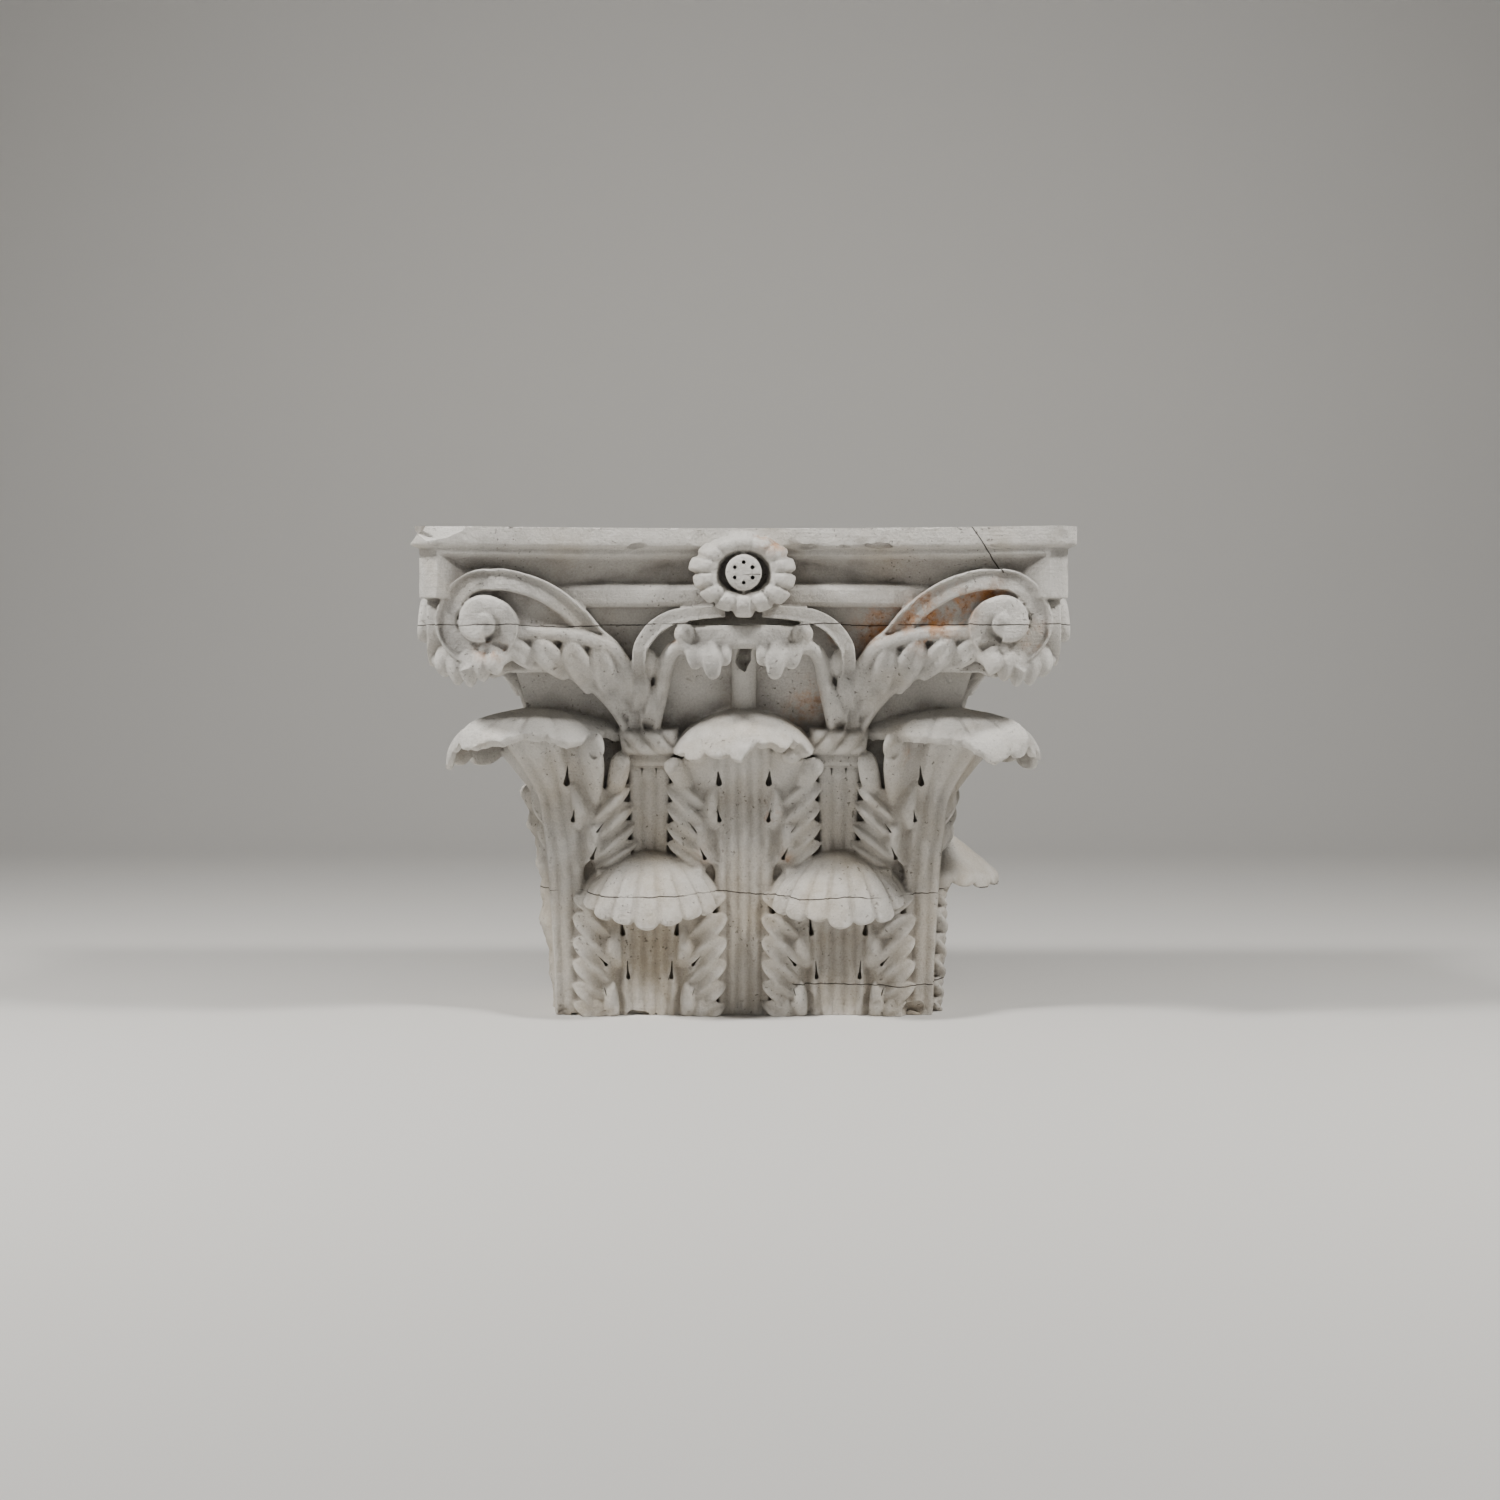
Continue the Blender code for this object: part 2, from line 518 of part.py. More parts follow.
def build():
    carve_all()
    mesh = bpy.data.meshes.new("capital")
    skins.to_mesh(mesh)
    skins.free()
    capital = bpy.data.objects.new("capital", mesh)
    bpy.context.scene.collection.objects.link(capital)
    mesh.materials.append(limestone())
    fuse = capital.modifiers.new("fuse", "REMESH")
    fuse.mode = "VOXEL"
    fuse.voxel_size = VOXEL
    fused = capital.evaluated_get(bpy.context.evaluated_depsgraph_get())
    ratio = TRIANGLES / (2 * len(fused.data.polygons))
    thin = capital.modifiers.new("thin", "DECIMATE")
    thin.ratio = min(ratio, 1.0)
    saw = capital.modifiers.new("saw", "BOOLEAN")
    saw.operation = "INTERSECT"
    saw.solver = "MANIFOLD"
    saw.object = sawing_box()


build()
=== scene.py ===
import math

import bmesh
import bpy
import numpy as np
from mathutils import Matrix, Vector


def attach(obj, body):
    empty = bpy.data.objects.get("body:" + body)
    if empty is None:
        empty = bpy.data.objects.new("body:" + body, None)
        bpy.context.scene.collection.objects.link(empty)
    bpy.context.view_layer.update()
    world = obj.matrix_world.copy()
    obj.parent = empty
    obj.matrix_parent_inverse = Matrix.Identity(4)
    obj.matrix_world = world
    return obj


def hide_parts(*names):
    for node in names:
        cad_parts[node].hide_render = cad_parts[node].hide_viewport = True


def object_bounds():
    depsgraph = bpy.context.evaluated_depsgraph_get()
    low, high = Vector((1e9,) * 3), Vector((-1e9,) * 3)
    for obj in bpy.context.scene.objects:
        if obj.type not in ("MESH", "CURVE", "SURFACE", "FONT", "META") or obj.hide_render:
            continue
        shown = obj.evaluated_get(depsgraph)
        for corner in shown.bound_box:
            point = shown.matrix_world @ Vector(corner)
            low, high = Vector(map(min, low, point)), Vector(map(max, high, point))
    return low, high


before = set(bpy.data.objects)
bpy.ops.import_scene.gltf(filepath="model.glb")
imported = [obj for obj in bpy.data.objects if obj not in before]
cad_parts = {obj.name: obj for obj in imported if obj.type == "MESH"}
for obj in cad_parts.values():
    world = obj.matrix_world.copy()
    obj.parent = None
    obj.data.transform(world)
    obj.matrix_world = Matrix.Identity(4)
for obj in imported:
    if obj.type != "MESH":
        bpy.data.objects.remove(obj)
solidLow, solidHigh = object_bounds()

# The block, in metres. Ring and line points below are (across, out from the axis, up).
block = {
    "height": solidHigh.z,
    "wallY": solidHigh.y,
    "axisY": solidHigh.y,      # the capital is half of a square one, cut at its axis
    "halfShaft": 0.226,
    "flare": 0.084,            # lip of the bell past the shaft
    "lipFoot": 0.505,
    "lipHeight": 0.027,
    "spare": 0.012,            # stone past the beds and the wall before sawing
    "voxel": 0.0019,
    "triangles": 192000,
}
height = block["height"]
root2 = math.sqrt(2)
chance = np.random.default_rng(7)
skins = []                     # closed skins that the block is fused from
drillMarks = []                # where the carver's drill went in


def through(knots, x):
    # smooth line through (x, value) knots
    xs, ys = np.array(knots, float).T
    x = np.clip(x, xs[0], xs[-1])
    i = np.clip(np.searchsorted(xs, x, side="right") - 1, 0, len(xs) - 2)
    t = (x - xs[i]) / (xs[i + 1] - xs[i])
    return ys[i] + (ys[i + 1] - ys[i]) * t * t * (3 - 2 * t)


def bell(z):
    rise = np.clip(z / block["lipFoot"], 0, 1)
    return block["halfShaft"] + block["flare"] * (0.22 * rise + 0.78 * rise ** 3.2)


def smoothLine(points, steps=8):
    p = np.array(points, float)
    p = np.vstack([2 * p[0] - p[1], p, 2 * p[-1] - p[-2]])
    t = np.linspace(0, 1, steps, endpoint=False)[:, None]
    parts = []
    for a, b, c, d in zip(p, p[1:], p[2:], p[3:]):
        parts.append(b + (c - a) * t / 2 + (a - 2.5 * b + 2 * c - d / 2) * t ** 2
                     + (1.5 * (b - c) + (d - a) / 2) * t ** 3)
    return np.vstack(parts + [p[-2:-1]])


def loft(rings, turn=0.0, mirror=False, into=None):
    # closes a row of rings into a skin, turned about the capital's axis
    rings = np.asarray(rings, float)
    rows, count = rings.shape[:2]
    points = rings.reshape(-1, 3) * ((-1 if mirror else 1), -1, 1)
    c, s = math.cos(math.radians(turn)), math.sin(math.radians(turn))
    turned = np.column_stack([c * points[:, 0] - s * points[:, 1],
                              s * points[:, 0] + c * points[:, 1] + block["axisY"], points[:, 2]])
    grid = np.arange(rows * count).reshape(rows, count)
    ahead = np.roll(grid, -1, axis=1)
    quads = np.stack([grid[:-1], ahead[:-1], ahead[1:], grid[1:]], -1).reshape(-1, 4)
    faces = quads.tolist() + [grid[0][::-1].tolist(), grid[-1].tolist()]
    (skins if into is None else into).append((turned, faces))


def roundSection(count=14, square=2.0, dish=0.0):
    # a rounded section; dish hollows its outward side
    angle = 2 * np.pi * (np.arange(count) + 0.5) / count
    c, s = np.cos(angle), np.sin(angle)
    fit = (np.abs(c) ** square + np.abs(s) ** square) ** (-1 / square)
    x, y = c * fit, s * fit
    return np.column_stack([x, np.where(y > 0, y * (1 - dish * np.exp(-((x / 0.5) ** 2))), y)])


def sweep(line, width, depth, turn=0.0, mirror=False, section=None, out=(0, 1, 0), into=None):
    # a closed bar along a line; width and depth are half sizes, numbers or one for each point
    line = np.asarray(line, float)
    section = roundSection() if section is None else np.asarray(section, float)
    tangent = np.gradient(line, axis=0)
    tangent /= np.linalg.norm(tangent, axis=1)[:, None]
    across = np.cross(tangent, out)
    across /= np.linalg.norm(across, axis=1)[:, None]
    normal = np.cross(across, tangent)
    width = np.broadcast_to(width, len(line))[:, None, None]
    depth = np.broadcast_to(depth, len(line))[:, None, None]
    rings = (line[:, None, :] + across[:, None, :] * width * section[None, :, :1]
             + normal[:, None, :] * depth * section[None, :, 1:])
    loft(rings, turn, mirror, into)


def shares(line):
    return np.linspace(0, 1, len(line))


def lobe(points, width, depth, turn=0.0, mirror=False, square=2.3, blunt=5.0, dish=0.0):
    # a leaflet, petal or knuckle: a fat finger with a round tip, along a short curve
    line = smoothLine(points, 10)
    t = 1 - (1 - np.linspace(0, 1, 14)) ** 1.8
    at = t * (len(line) - 1)
    line = np.stack([np.interp(at, np.arange(len(line)), line[:, k]) for k in range(3)], 1)
    size = (0.70 + 0.30 * np.sin(np.pi * t ** 0.9)) * np.sqrt(np.clip(1 - t ** blunt, 0.01, 1))
    sweep(line, width / 2 * size, depth / 2 * size, turn, mirror, roundSection(18, square, dish))


def surfacePoint(s, lift, z, corner):
    # a point at distance s from a leaf's midrib along the bell, lifted off it
    s, lift, z = np.broadcast_arrays(np.asarray(s, float), lift, z)
    if not corner:
        return np.stack([s, bell(z) + lift, z], -1)
    lean = np.radians(45) * np.clip(s / 0.03, -1, 1)
    return np.stack([s / root2 + lift * np.sin(lean),
                     root2 * bell(z) - np.abs(s) / root2 + lift * np.cos(lean), z], -1)


def fourSides(x, y):
    # one side of a square plan, carried round all four
    return np.vstack([np.column_stack(side) for side in ((x, y), (-y, x), (-x, -y), (y, -x))])


def carveBell():
    foot, lipHeight = block["lipFoot"], block["lipHeight"]
    heights = np.concatenate([[-block["spare"]], np.linspace(0, foot, 40)])
    lip = bell(foot)
    rows = [(z, bell(z)) for z in heights]
    rows += [(foot + 0.0008, lip + 0.007), (foot + 0.006, lip + 0.010), (foot + lipHeight * 0.8, lip + 0.011),
             (foot + lipHeight, lip + 0.006), (foot + lipHeight + 0.002, lip - 0.002),
             (height - 0.02, lip - 0.002)]
    rings = []
    for z, half in rows:
        ring = fourSides(np.linspace(-half, half, 24, endpoint=False), np.full(24, -half))
        rings.append(np.column_stack([ring, np.full(len(ring), z)]))
    loft(rings)


abacus = {
    "horn": 0.396,             # from the axis to a horn
    "hollow": 0.062,           # how deep the sides curve in
    "hornFace": 0.034,
    "fascia": 0.024,
    "cove": 0.044,
    "coveDepth": 0.032,
    # fillet under the fascia: (set in, above the fascia's foot)
    "fillet": [(0, 0.006), (0.0005, 0.002), (0.004, 0), (0.009, -0.001), (0.0095, -0.002),
               (0.0095, -0.0085), (0.0125, -0.0095)],
}


def carveAbacus():
    fasciaFoot = height - abacus["fascia"]
    cove = np.linspace(0, 1, 12)
    rows = [(0, height + block["spare"])] + [(back, fasciaFoot + up) for back, up in abacus["fillet"]]
    rows += zip(0.014 + abacus["coveDepth"] * cove ** 0.55,
                fasciaFoot - 0.010 - (abacus["cove"] - 0.010) * cove)
    rings = []
    for back, z in rows:
        reach = abacus["horn"] - back
        end = reach - abacus["hornFace"] / root2
        u = np.linspace(-end, end, 49)
        ring = fourSides(u, -reach + abacus["hollow"] * (1 - (u / end) ** 2))
        rings.append(np.column_stack([ring, np.full(len(ring), z)]))
    loft(rings)
    post, tip = abacus["hornFace"] / 2, root2 * (abacus["horn"] - 0.010) - abacus["hornFace"] / 2
    for turn in (-45, 45):                   # the cut ends of the horns run straight down to the scrolls
        section = np.array([(-post, tip), (post, tip), (post * 1.1, tip - 0.07), (-post * 1.1, tip - 0.07)])
        loft([np.column_stack([section, np.full(4, z)]) for z in (block["lipFoot"] + 0.01, fasciaFoot)], turn)


leaf = {
    "width": 0.188,            # over the leaflets
    "overhang": 0.088,         # overturned tip past the bell
    "rib": 0.0145,             # spacing of the pipes up the middle
    "hoodPipes": 9,
    "hoodRim": 0.009,          # thickness at the rim
    "spacing": 0.117,          # midrib of a lower leaf from the middle of a face
    "cornerSpread": 1.125,     # leaflets of a corner leaf reach further by this
    "cornerReach": 1.205,      # and so does its overturned tip
}
# Leaflets are (height of the tip, size); lobes are paths of (from the midrib, off the bell, up) with
# a width; eyes are (from the midrib, up, lean outwards in degrees, size across, size along).
lowerLeaf = {
    "crest": 0.209, "drop": 0.090, "ends": 0.39, "sag": 0.0, "hoodWidth": 0.085, "lift": 0.36,
    "flute": 0.0044,
    "profile": [(0.0, 0.0), (0.27, 0.08), (0.55, 0.26), (0.78, 0.52), (0.93, 0.80), (1.0, 1.03)],
    "outline": [(0.0, 0.062), (0.10, 0.070), (0.21, 0.064)],
    "leaflets": [(0.146, 0.80), (0.120, 1.12), (0.090, 1.10), (0.062, 1.04), (0.036, 0.92), (0.011, 0.80)],
    "lobes": [([(0.046, 0.006, -0.004), (0.047, 0.017, 0.016), (0.045, 0.014, 0.042)], 0.0185),
              ([(0.060, 0.006, -0.006), (0.064, 0.016, 0.008), (0.066, 0.013, 0.026)], 0.0165),
              ([(0.040, 0.004, 0.062), (0.044, 0.013, 0.085), (0.040, 0.011, 0.116)], 0.020)],
    "eyes": [(0.027, 0.052, 3, 0.75, 1.1), (0.034, 0.108, 6, 0.9, 1.3), (0.056, 0.066, 40, 0.6, 0.8),
             (0.053, 0.026, 20, 0.55, 0.7)],
}
upperLeaf = {
    "crest": 0.385, "drop": 0.062, "ends": 0.02, "sag": 0.0, "hoodWidth": 0.090, "lift": 0.42,
    "flute": 0.0010,
    "profile": [(0.0, 0.0), (0.27, 0.09), (0.55, 0.26), (0.78, 0.50), (0.93, 0.78), (1.0, 1.03)],
    "outline": [(0.0, 0.032), (0.18, 0.036), (0.215, 0.066), (0.385, 0.070)],
    "leaflets": [(0.283, 1.08), (0.260, 1.06), (0.235, 1.02), (0.212, 0.80)],
    "lobes": [([(0.046, 0.004, 0.276), (0.052, 0.020, 0.314), (0.057, 0.038, 0.330),
                (0.062, 0.049, 0.316)], 0.040),
              ([(0.066, 0.006, 0.278), (0.078, 0.022, 0.300), (0.087, 0.033, 0.312),
                (0.091, 0.040, 0.300)], 0.026),
              ([(0.036, 0.004, 0.235), (0.040, 0.014, 0.258), (0.037, 0.013, 0.290)], 0.0185),
              ([(0.052, 0.004, 0.200), (0.054, 0.013, 0.222), (0.052, 0.012, 0.244)], 0.019)],
    "eyes": [(0.0125, 0.3045, 0, 0.75, 0.65), (0.0310, 0.297, 4, 1.1, 1.6), (0.0310, 0.247, 10, 0.75, 0.95),
             (0.0500, 0.199, 22, 0.70, 0.85), (0.0610, 0.232, 35, 0.50, 0.70)],
}
# Corner hoods reach further and flatter; the leaf on the right return slopes straight down.
cornerHood = {
    "drop": 0.042, "sag": 0.90, "ends": 0.0, "flute": 0.0026,
    "lobes": [([(0.056, 0.004, 0.270), (0.064, 0.024, 0.312), (0.072, 0.042, 0.338),
                (0.080, 0.050, 0.322)], 0.046),
              ([(0.082, 0.006, 0.272), (0.094, 0.020, 0.298), (0.103, 0.032, 0.318),
                (0.106, 0.038, 0.304)], 0.029)],
    "profile": [(0.0, 0.0), (0.30, 0.07), (0.60, 0.20), (0.84, 0.40), (0.97, 0.70), (1.0, 1.03)],
}
returnHood = {
    "crest": 0.236, "drop": 0.088, "ends": 0.1, "flute": 0.0014,
    "profile": [(0.0, 0.0), (0.30, 0.20), (0.60, 0.44), (0.88, 0.68), (1.0, 0.82), (0.99, 1.03)],
}


def blade(kind, turn, shift, corner):
    # the body of a leaf hugs the bell, then swells forward under its overturned tip
    top = kind["crest"] - 0.026
    z = np.linspace(-block["spare"], top, 44)[:, None]
    half = through(kind["outline"], z)
    s = half * np.linspace(-1, 1, 57)[None, :]
    swell = kind["lift"] * leaf["overhang"] * through([(0, 0), (1, 1)], (z - top + 0.10) / 0.10)
    pipes = np.abs(np.cos(np.pi * s / leaf["rib"])) ** 0.6 * through([(0.030, 1), (0.037, 0)], np.abs(s))
    shelf = through([(0.034, 0), (0.052, 1)], np.abs(s))
    rise = 0.006 + 0.0050 * pipes + 0.0095 * shelf + swell * np.exp(-((s / 0.050) ** 2))
    front = surfacePoint(s, rise, z, corner)
    back = surfacePoint(s, -0.020, z, corner)[:, ::-1]
    rings = np.concatenate([front, back], axis=1)
    rings[:, :, 0] += shift
    loft(rings, turn)


def hood(kind, turn, shift, corner, reach, wide, spread, setBack, kept=None):
    # the fluted hood that an acanthus tip makes where it falls forward and down
    pipes = leaf["hoodPipes"]
    share = np.linspace(-1, 1, 16 * pipes + 1)
    phase = (share + 1) / 2 * pipes
    gap = np.minimum(phase % 1, 1 - phase % 1)
    groove = np.exp(-((gap / 0.085) ** 2))
    rounding = np.sqrt(np.clip(1 - (2 * gap - 1) ** 2, 0, 1))
    lengths = 1 + 0.10 * (chance.random(pipes + 1)[np.minimum(phase.astype(int), pipes)] - 0.5)
    sag = kind["sag"] * np.sqrt(np.sin(np.pi * np.abs(share)).clip(0))
    fall = kind["drop"] * (1 + sag - kind["ends"] * share ** 2)
    keep = np.ones(len(share)) if kept is None else np.interp(share, *np.array(kept).T)
    raw = keep < 0.97
    ragged = (0.040 * np.interp(share, np.linspace(-1, 1, 17), chance.normal(size=17))
              + 0.014 * np.interp(share, np.linspace(-1, 1, 77), chance.normal(size=77))) * raw
    limit = np.where(raw, keep + ragged, lengths * (0.90 + 0.10 * rounding))
    profile = smoothLine(kind["profile"], 6)
    knots = np.linspace(0, 1.04, len(profile))
    t = np.linspace(0, 1, 30)
    start = (root2 if corner else 1) * bell(kind["crest"]) - setBack
    rings = []
    for i, k in enumerate(share):
        angle = math.radians(spread) * k
        along = t * limit[i]
        out = np.interp(along, knots, profile[:, 0]) * (reach + setBack)
        down = np.interp(along, knots, profile[:, 1]) * fall[i]
        slope = np.column_stack([np.gradient(out), np.gradient(down)])
        slope /= np.linalg.norm(slope, axis=1)[:, None]
        dip = groove[i] * kind["flute"] * np.clip((t - 0.22) / 0.4, 0, 1)
        thick = leaf["hoodRim"] + (0.004 if raw[i] else 0) + 0.012 * (1 - t)
        outer = np.column_stack([out - slope[:, 1] * dip, down + slope[:, 0] * dip])
        inner = np.column_stack([out - slope[:, 1] * thick, down + slope[:, 0] * thick])[::-1]
        inner[:, 0] = np.maximum(inner[:, 0], 0)
        ring = np.concatenate([outer, inner])
        rings.append(np.column_stack([shift + wide / reach * ring[:, 0] * math.sin(angle),
                                      start + ring[:, 0] * math.cos(angle), kind["crest"] - ring[:, 1]]))
    loft(rings, turn)


def leaflets(kind, turn, shift, corner):
    for side in (-1, 1):
        for tip, size in kind["leaflets"]:
            tip += 0.003 * (chance.random() - 0.5)
            path = np.array([(0.046, 0.001, tip - 0.034 * size), (0.060, 0.012, tip - 0.021 * size),
                             (0.076, 0.0185, tip - 0.007 * size),
                             (leaf["width"] / 2, 0.012, tip + 0.004 * size)])
            if corner:
                path[:, 0] *= leaf["cornerSpread"]
            points = surfacePoint(side * path[:, 0], path[:, 1], path[:, 2], corner)
            points[:, 0] += shift
            lobe(points, 0.0265 * size, 0.022 * size, turn, square=2.8, blunt=8, dish=0.75)
        for path, wide in kind["lobes"] if not corner else cornerHood["lobes"] + kind["lobes"][2:]:
            path = np.array(path)
            points = surfacePoint(side * path[:, 0], path[:, 1], path[:, 2], corner)
            points[:, 0] += shift
            lobe(points, wide, min(wide, 0.021), turn)
        for s, z, lean, wide, long in kind["eyes"]:
            point = surfacePoint(side * s, 0.010, z, corner)
            point[0] += shift
            drillMarks.append((turn, point, side * lean, (wide, long), turn + (45 * side if corner else 0)))


def carveLowerLeaf(turn, shift):
    blade(lowerLeaf, turn, shift, False)
    leaflets(lowerLeaf, turn, shift, False)
    kind = dict(lowerLeaf, **returnHood) if turn == 90 else lowerLeaf
    hood(kind, turn, shift, False, leaf["overhang"], kind["hoodWidth"], 95, 0.004)


stump = {
    "height": 0.300,
    "halfWidth": 0.072,
    "foot": 0.020,             # how far it stands off the bell at the bottom bed
    "lean": 0.075,             # and how much more for each metre up
}


def carveStump(turn, shift):
    # the rough stone that is left where a lower leaf has broken away
    top, half = stump["height"], stump["halfWidth"]
    z = np.linspace(-block["spare"], top, 60)[:, None]
    s = half * np.linspace(-1, 1, 37)[None, :]
    ridge = np.interp(z[:, 0], np.linspace(-0.012, top, 19), chance.normal(size=19))[:, None]
    side = np.interp(s[0], np.linspace(-half, half, 7), chance.normal(size=7))[None, :]
    grain = chance.normal(size=(60, 37))
    rise = stump["foot"] + stump["lean"] * z + 0.0035 * ridge + 0.003 * side + 0.0014 * grain
    rise = rise * (1 - (np.abs(s) / 0.075) ** 4) * through([(0.27, 1), (top, 0.3)], z)
    front = np.stack(np.broadcast_arrays(shift + s, bell(z) + rise, z), -1)
    back = (front * (1, 0, 1) + np.stack(np.broadcast_arrays(0 * s, bell(z) - 0.02, 0 * z), -1))[:, ::-1]
    loft(np.concatenate([front, back], axis=1), turn)


def carveUpperLeaf(turn, corner, kept=None):
    blade(upperLeaf, turn, 0.0, corner)
    leaflets(upperLeaf, turn, 0.0, corner)
    if corner:
        kind = dict(upperLeaf, **cornerHood)
        hood(kind, turn, 0.0, True, leaf["overhang"] * leaf["cornerReach"], 0.074, 120, 0.030, kept)
    else:
        hood(upperLeaf, turn, 0.0, False, leaf["overhang"], upperLeaf["hoodWidth"], 95, 0.004, kept)


def tucked(points, turn):
    # on a return the leaf under the scroll is worn back to the bell
    if turn == 0:
        return points
    kept = [through([(0.425, 0.12), (0.472, 1.0)], c) for a, b, c in points]
    return [(a, bell(c) + (b - bell(c)) * k, c) for (a, b, c), k in zip(points, kept)]


volute = {
    "width": 0.112,
    "eye": (0.309, 0.375, height - 0.1155),
    "band": [(0.0, 0.008), (0.22, 0.0122), (0.8, 0.0128), (1.0, 0.0115)],
    "roll": [(0.0, 0.0105), (0.5, 0.0115), (1.0, 0.0100)],
    "radius": [(0, 0.475), (80, 0.40), (170, 0.345), (260, 0.27), (360, 0.205), (460, 0.15), (560, 0.10)],
    "forward": [(0, -0.016), (230, -0.014), (330, -0.003), (560, 0.001)],
    "tail": [(0.129, 0.268, 0.343), (0.139, 0.282, 0.405), (0.155, 0.300, 0.4475), (0.1795, 0.320, 0.4705),
             (0.199, 0.334, 0.4932), (0.2243, 0.350, 0.5145), (0.2503, 0.360, 0.5285),
             (0.2800, 0.366, 0.5365)],
}
bandSection = [(-1, -1.0), (1, -1.0), (1, 0.86), (0.97, 1.0), (0.78, 1.0), (0.68, 0.70), (-0.90, 0.80),
               (-1, 0.6)]
roundOut = (0, 0, 1)


def carveVolute(turn, mirror):
    eye = np.array(volute["eye"])
    turned = np.arange(0, 561, 8)
    angle = np.radians(100 - turned)
    r = volute["width"] * through(volute["radius"], turned)
    spiral = np.column_stack([eye[0] + r * np.cos(angle), eye[1] + through(volute["forward"], turned),
                              eye[2] + r * np.sin(angle)])
    line = np.vstack([smoothLine(tucked(volute["tail"], turn) + [tuple(spiral[0])], 6)[:-1], spiral[:42]])
    sweep(line, through(volute["band"], shares(line)), 0.018, turn, mirror, bandSection)
    roll = spiral[30:]
    sweep(roll, through(volute["roll"], shares(roll)), 0.018, turn, mirror, roundSection(16, 7))
    knob = smoothLine([eye - (0, 0.03, 0), eye + (0, 0.008, 0), eye + (0, 0.017, 0)], 8)
    size = 0.0165 * np.sqrt(1.01 - shares(knob) ** 5)
    sweep(knob, size, size, turn, mirror, roundSection(24), roundOut)
    nipple = smoothLine([eye - (0, 0.01, 0), eye + (-0.003, 0.014, 0.004), eye + (-0.003, 0.0195, 0.004)], 8)
    size = 0.0085 * np.sqrt(1.01 - shares(nipple) ** 4)
    sweep(nipple, size, size, turn, mirror, roundSection(16), roundOut)
    rim = np.arange(0, 360, 10)
    r = volute["width"] * through(volute["radius"], rim)
    disc = np.column_stack([eye[0] + r * np.cos(np.radians(100 - rim)), np.zeros(len(rim)),
                            eye[2] + r * np.sin(np.radians(100 - rim))])
    loft([disc + (0, eye[1] - 0.090, 0), disc + (0, eye[1] - 0.012, 0)], turn, mirror)
    under = smoothLine(tucked(calyx["outerRib"], turn), 10)
    ledge = smoothLine(tucked(calyx["ledge"], turn), 10)
    # stone between the band and the ribs: the web behind all, the sunk field and the bed of the knuckles
    fills = ((line[:67], under, -0.015, -0.004, 0.09), (line[12:52], ledge, 0.001, 0.006, 0.05),
             (ledge, under, 0.0135, 0.006, 0.05))
    for high, low, front, foot, back in fills:
        high = high[np.linspace(0, len(high) - 1, len(low)).astype(int)]
        rings = [[(h[0], h[1] + front, h[2]), (h[0] * 0.96, h[1] - back, h[2]),
                  (g[0] * 0.96, g[1] - back, g[2]), (g[0], g[1] + foot, g[2])] for h, g in zip(high, low)]
        loft(rings, turn, mirror)


calyx = {
    "top": 0.327,              # where the stalk ends and the collar starts
    "collarHeight": 0.034,
    "strand": 0.0245,          # width of a twisted strand, measured level
    "twist": 0.85,
    "stalkWidth": 0.052,
    # middle lines of the leaves that rise from the collar
    "outerRib": [(0.126, 0.258, 0.345), (0.146, 0.278, 0.388), (0.178, 0.290, 0.424), (0.215, 0.310, 0.443),
                 (0.250, 0.334, 0.450), (0.300, 0.362, 0.446), (0.334, 0.368, 0.426)],
    "ledge": [(0.140, 0.296, 0.428), (0.156, 0.318, 0.452), (0.178, 0.330, 0.464), (0.209, 0.340, 0.4715),
              (0.244, 0.348, 0.4740), (0.274, 0.352, 0.4735), (0.300, 0.356, 0.469)],
    "innerRib": [(0.110, 0.260, 0.345), (0.105, 0.284, 0.376), (0.099, 0.298, 0.410), (0.094, 0.312, 0.438),
                 (0.083, 0.325, 0.455), (0.066, 0.332, 0.457), (0.044, 0.332, 0.450), (0.024, 0.328, 0.450)],
    # knuckles along the outer leaf: root, bend and tip
    "knuckles": [([(0.250, 0.336, 0.437), (0.268, 0.358, 0.452), (0.282, 0.362, 0.463)], 0.0270),
                 ([(0.2150, 0.306, 0.426), (0.236, 0.348, 0.449), (0.2495, 0.360, 0.467)], 0.0320),
                 ([(0.185, 0.290, 0.408), (0.202, 0.334, 0.442), (0.212, 0.352, 0.467)], 0.0330),
                 ([(0.160, 0.286, 0.398), (0.171, 0.322, 0.434), (0.178, 0.340, 0.463)], 0.0310),
                 ([(0.138, 0.276, 0.380), (0.144, 0.304, 0.416), (0.147, 0.320, 0.446)], 0.0265)],
    # petals that stand in the fork of the two leaves
    "petals": [([(0.138, 0.270, 0.364), (0.156, 0.296, 0.395), (0.170, 0.300, 0.427)], 0.020),
               ([(0.131, 0.270, 0.366), (0.124, 0.302, 0.405), (0.118, 0.306, 0.438)], 0.0205),
               ([(0.121, 0.268, 0.358), (0.111, 0.298, 0.385), (0.104, 0.302, 0.416)], 0.0185),
               ([(0.118, 0.296, 0.420), (0.114, 0.316, 0.440), (0.112, 0.318, 0.454)], 0.0180)],
    # lobes that hang from the curled end of the inner leaf
    "drops": [([(0.066, 0.310, 0.458), (0.060, 0.340, 0.452), (0.0565, 0.341, 0.430)], 0.0220),
              ([(0.046, 0.310, 0.458), (0.040, 0.345, 0.450), (0.0360, 0.343, 0.418)], 0.0260),
              ([(0.028, 0.310, 0.458), (0.024, 0.340, 0.452), (0.0225, 0.339, 0.434)], 0.0190)],
}


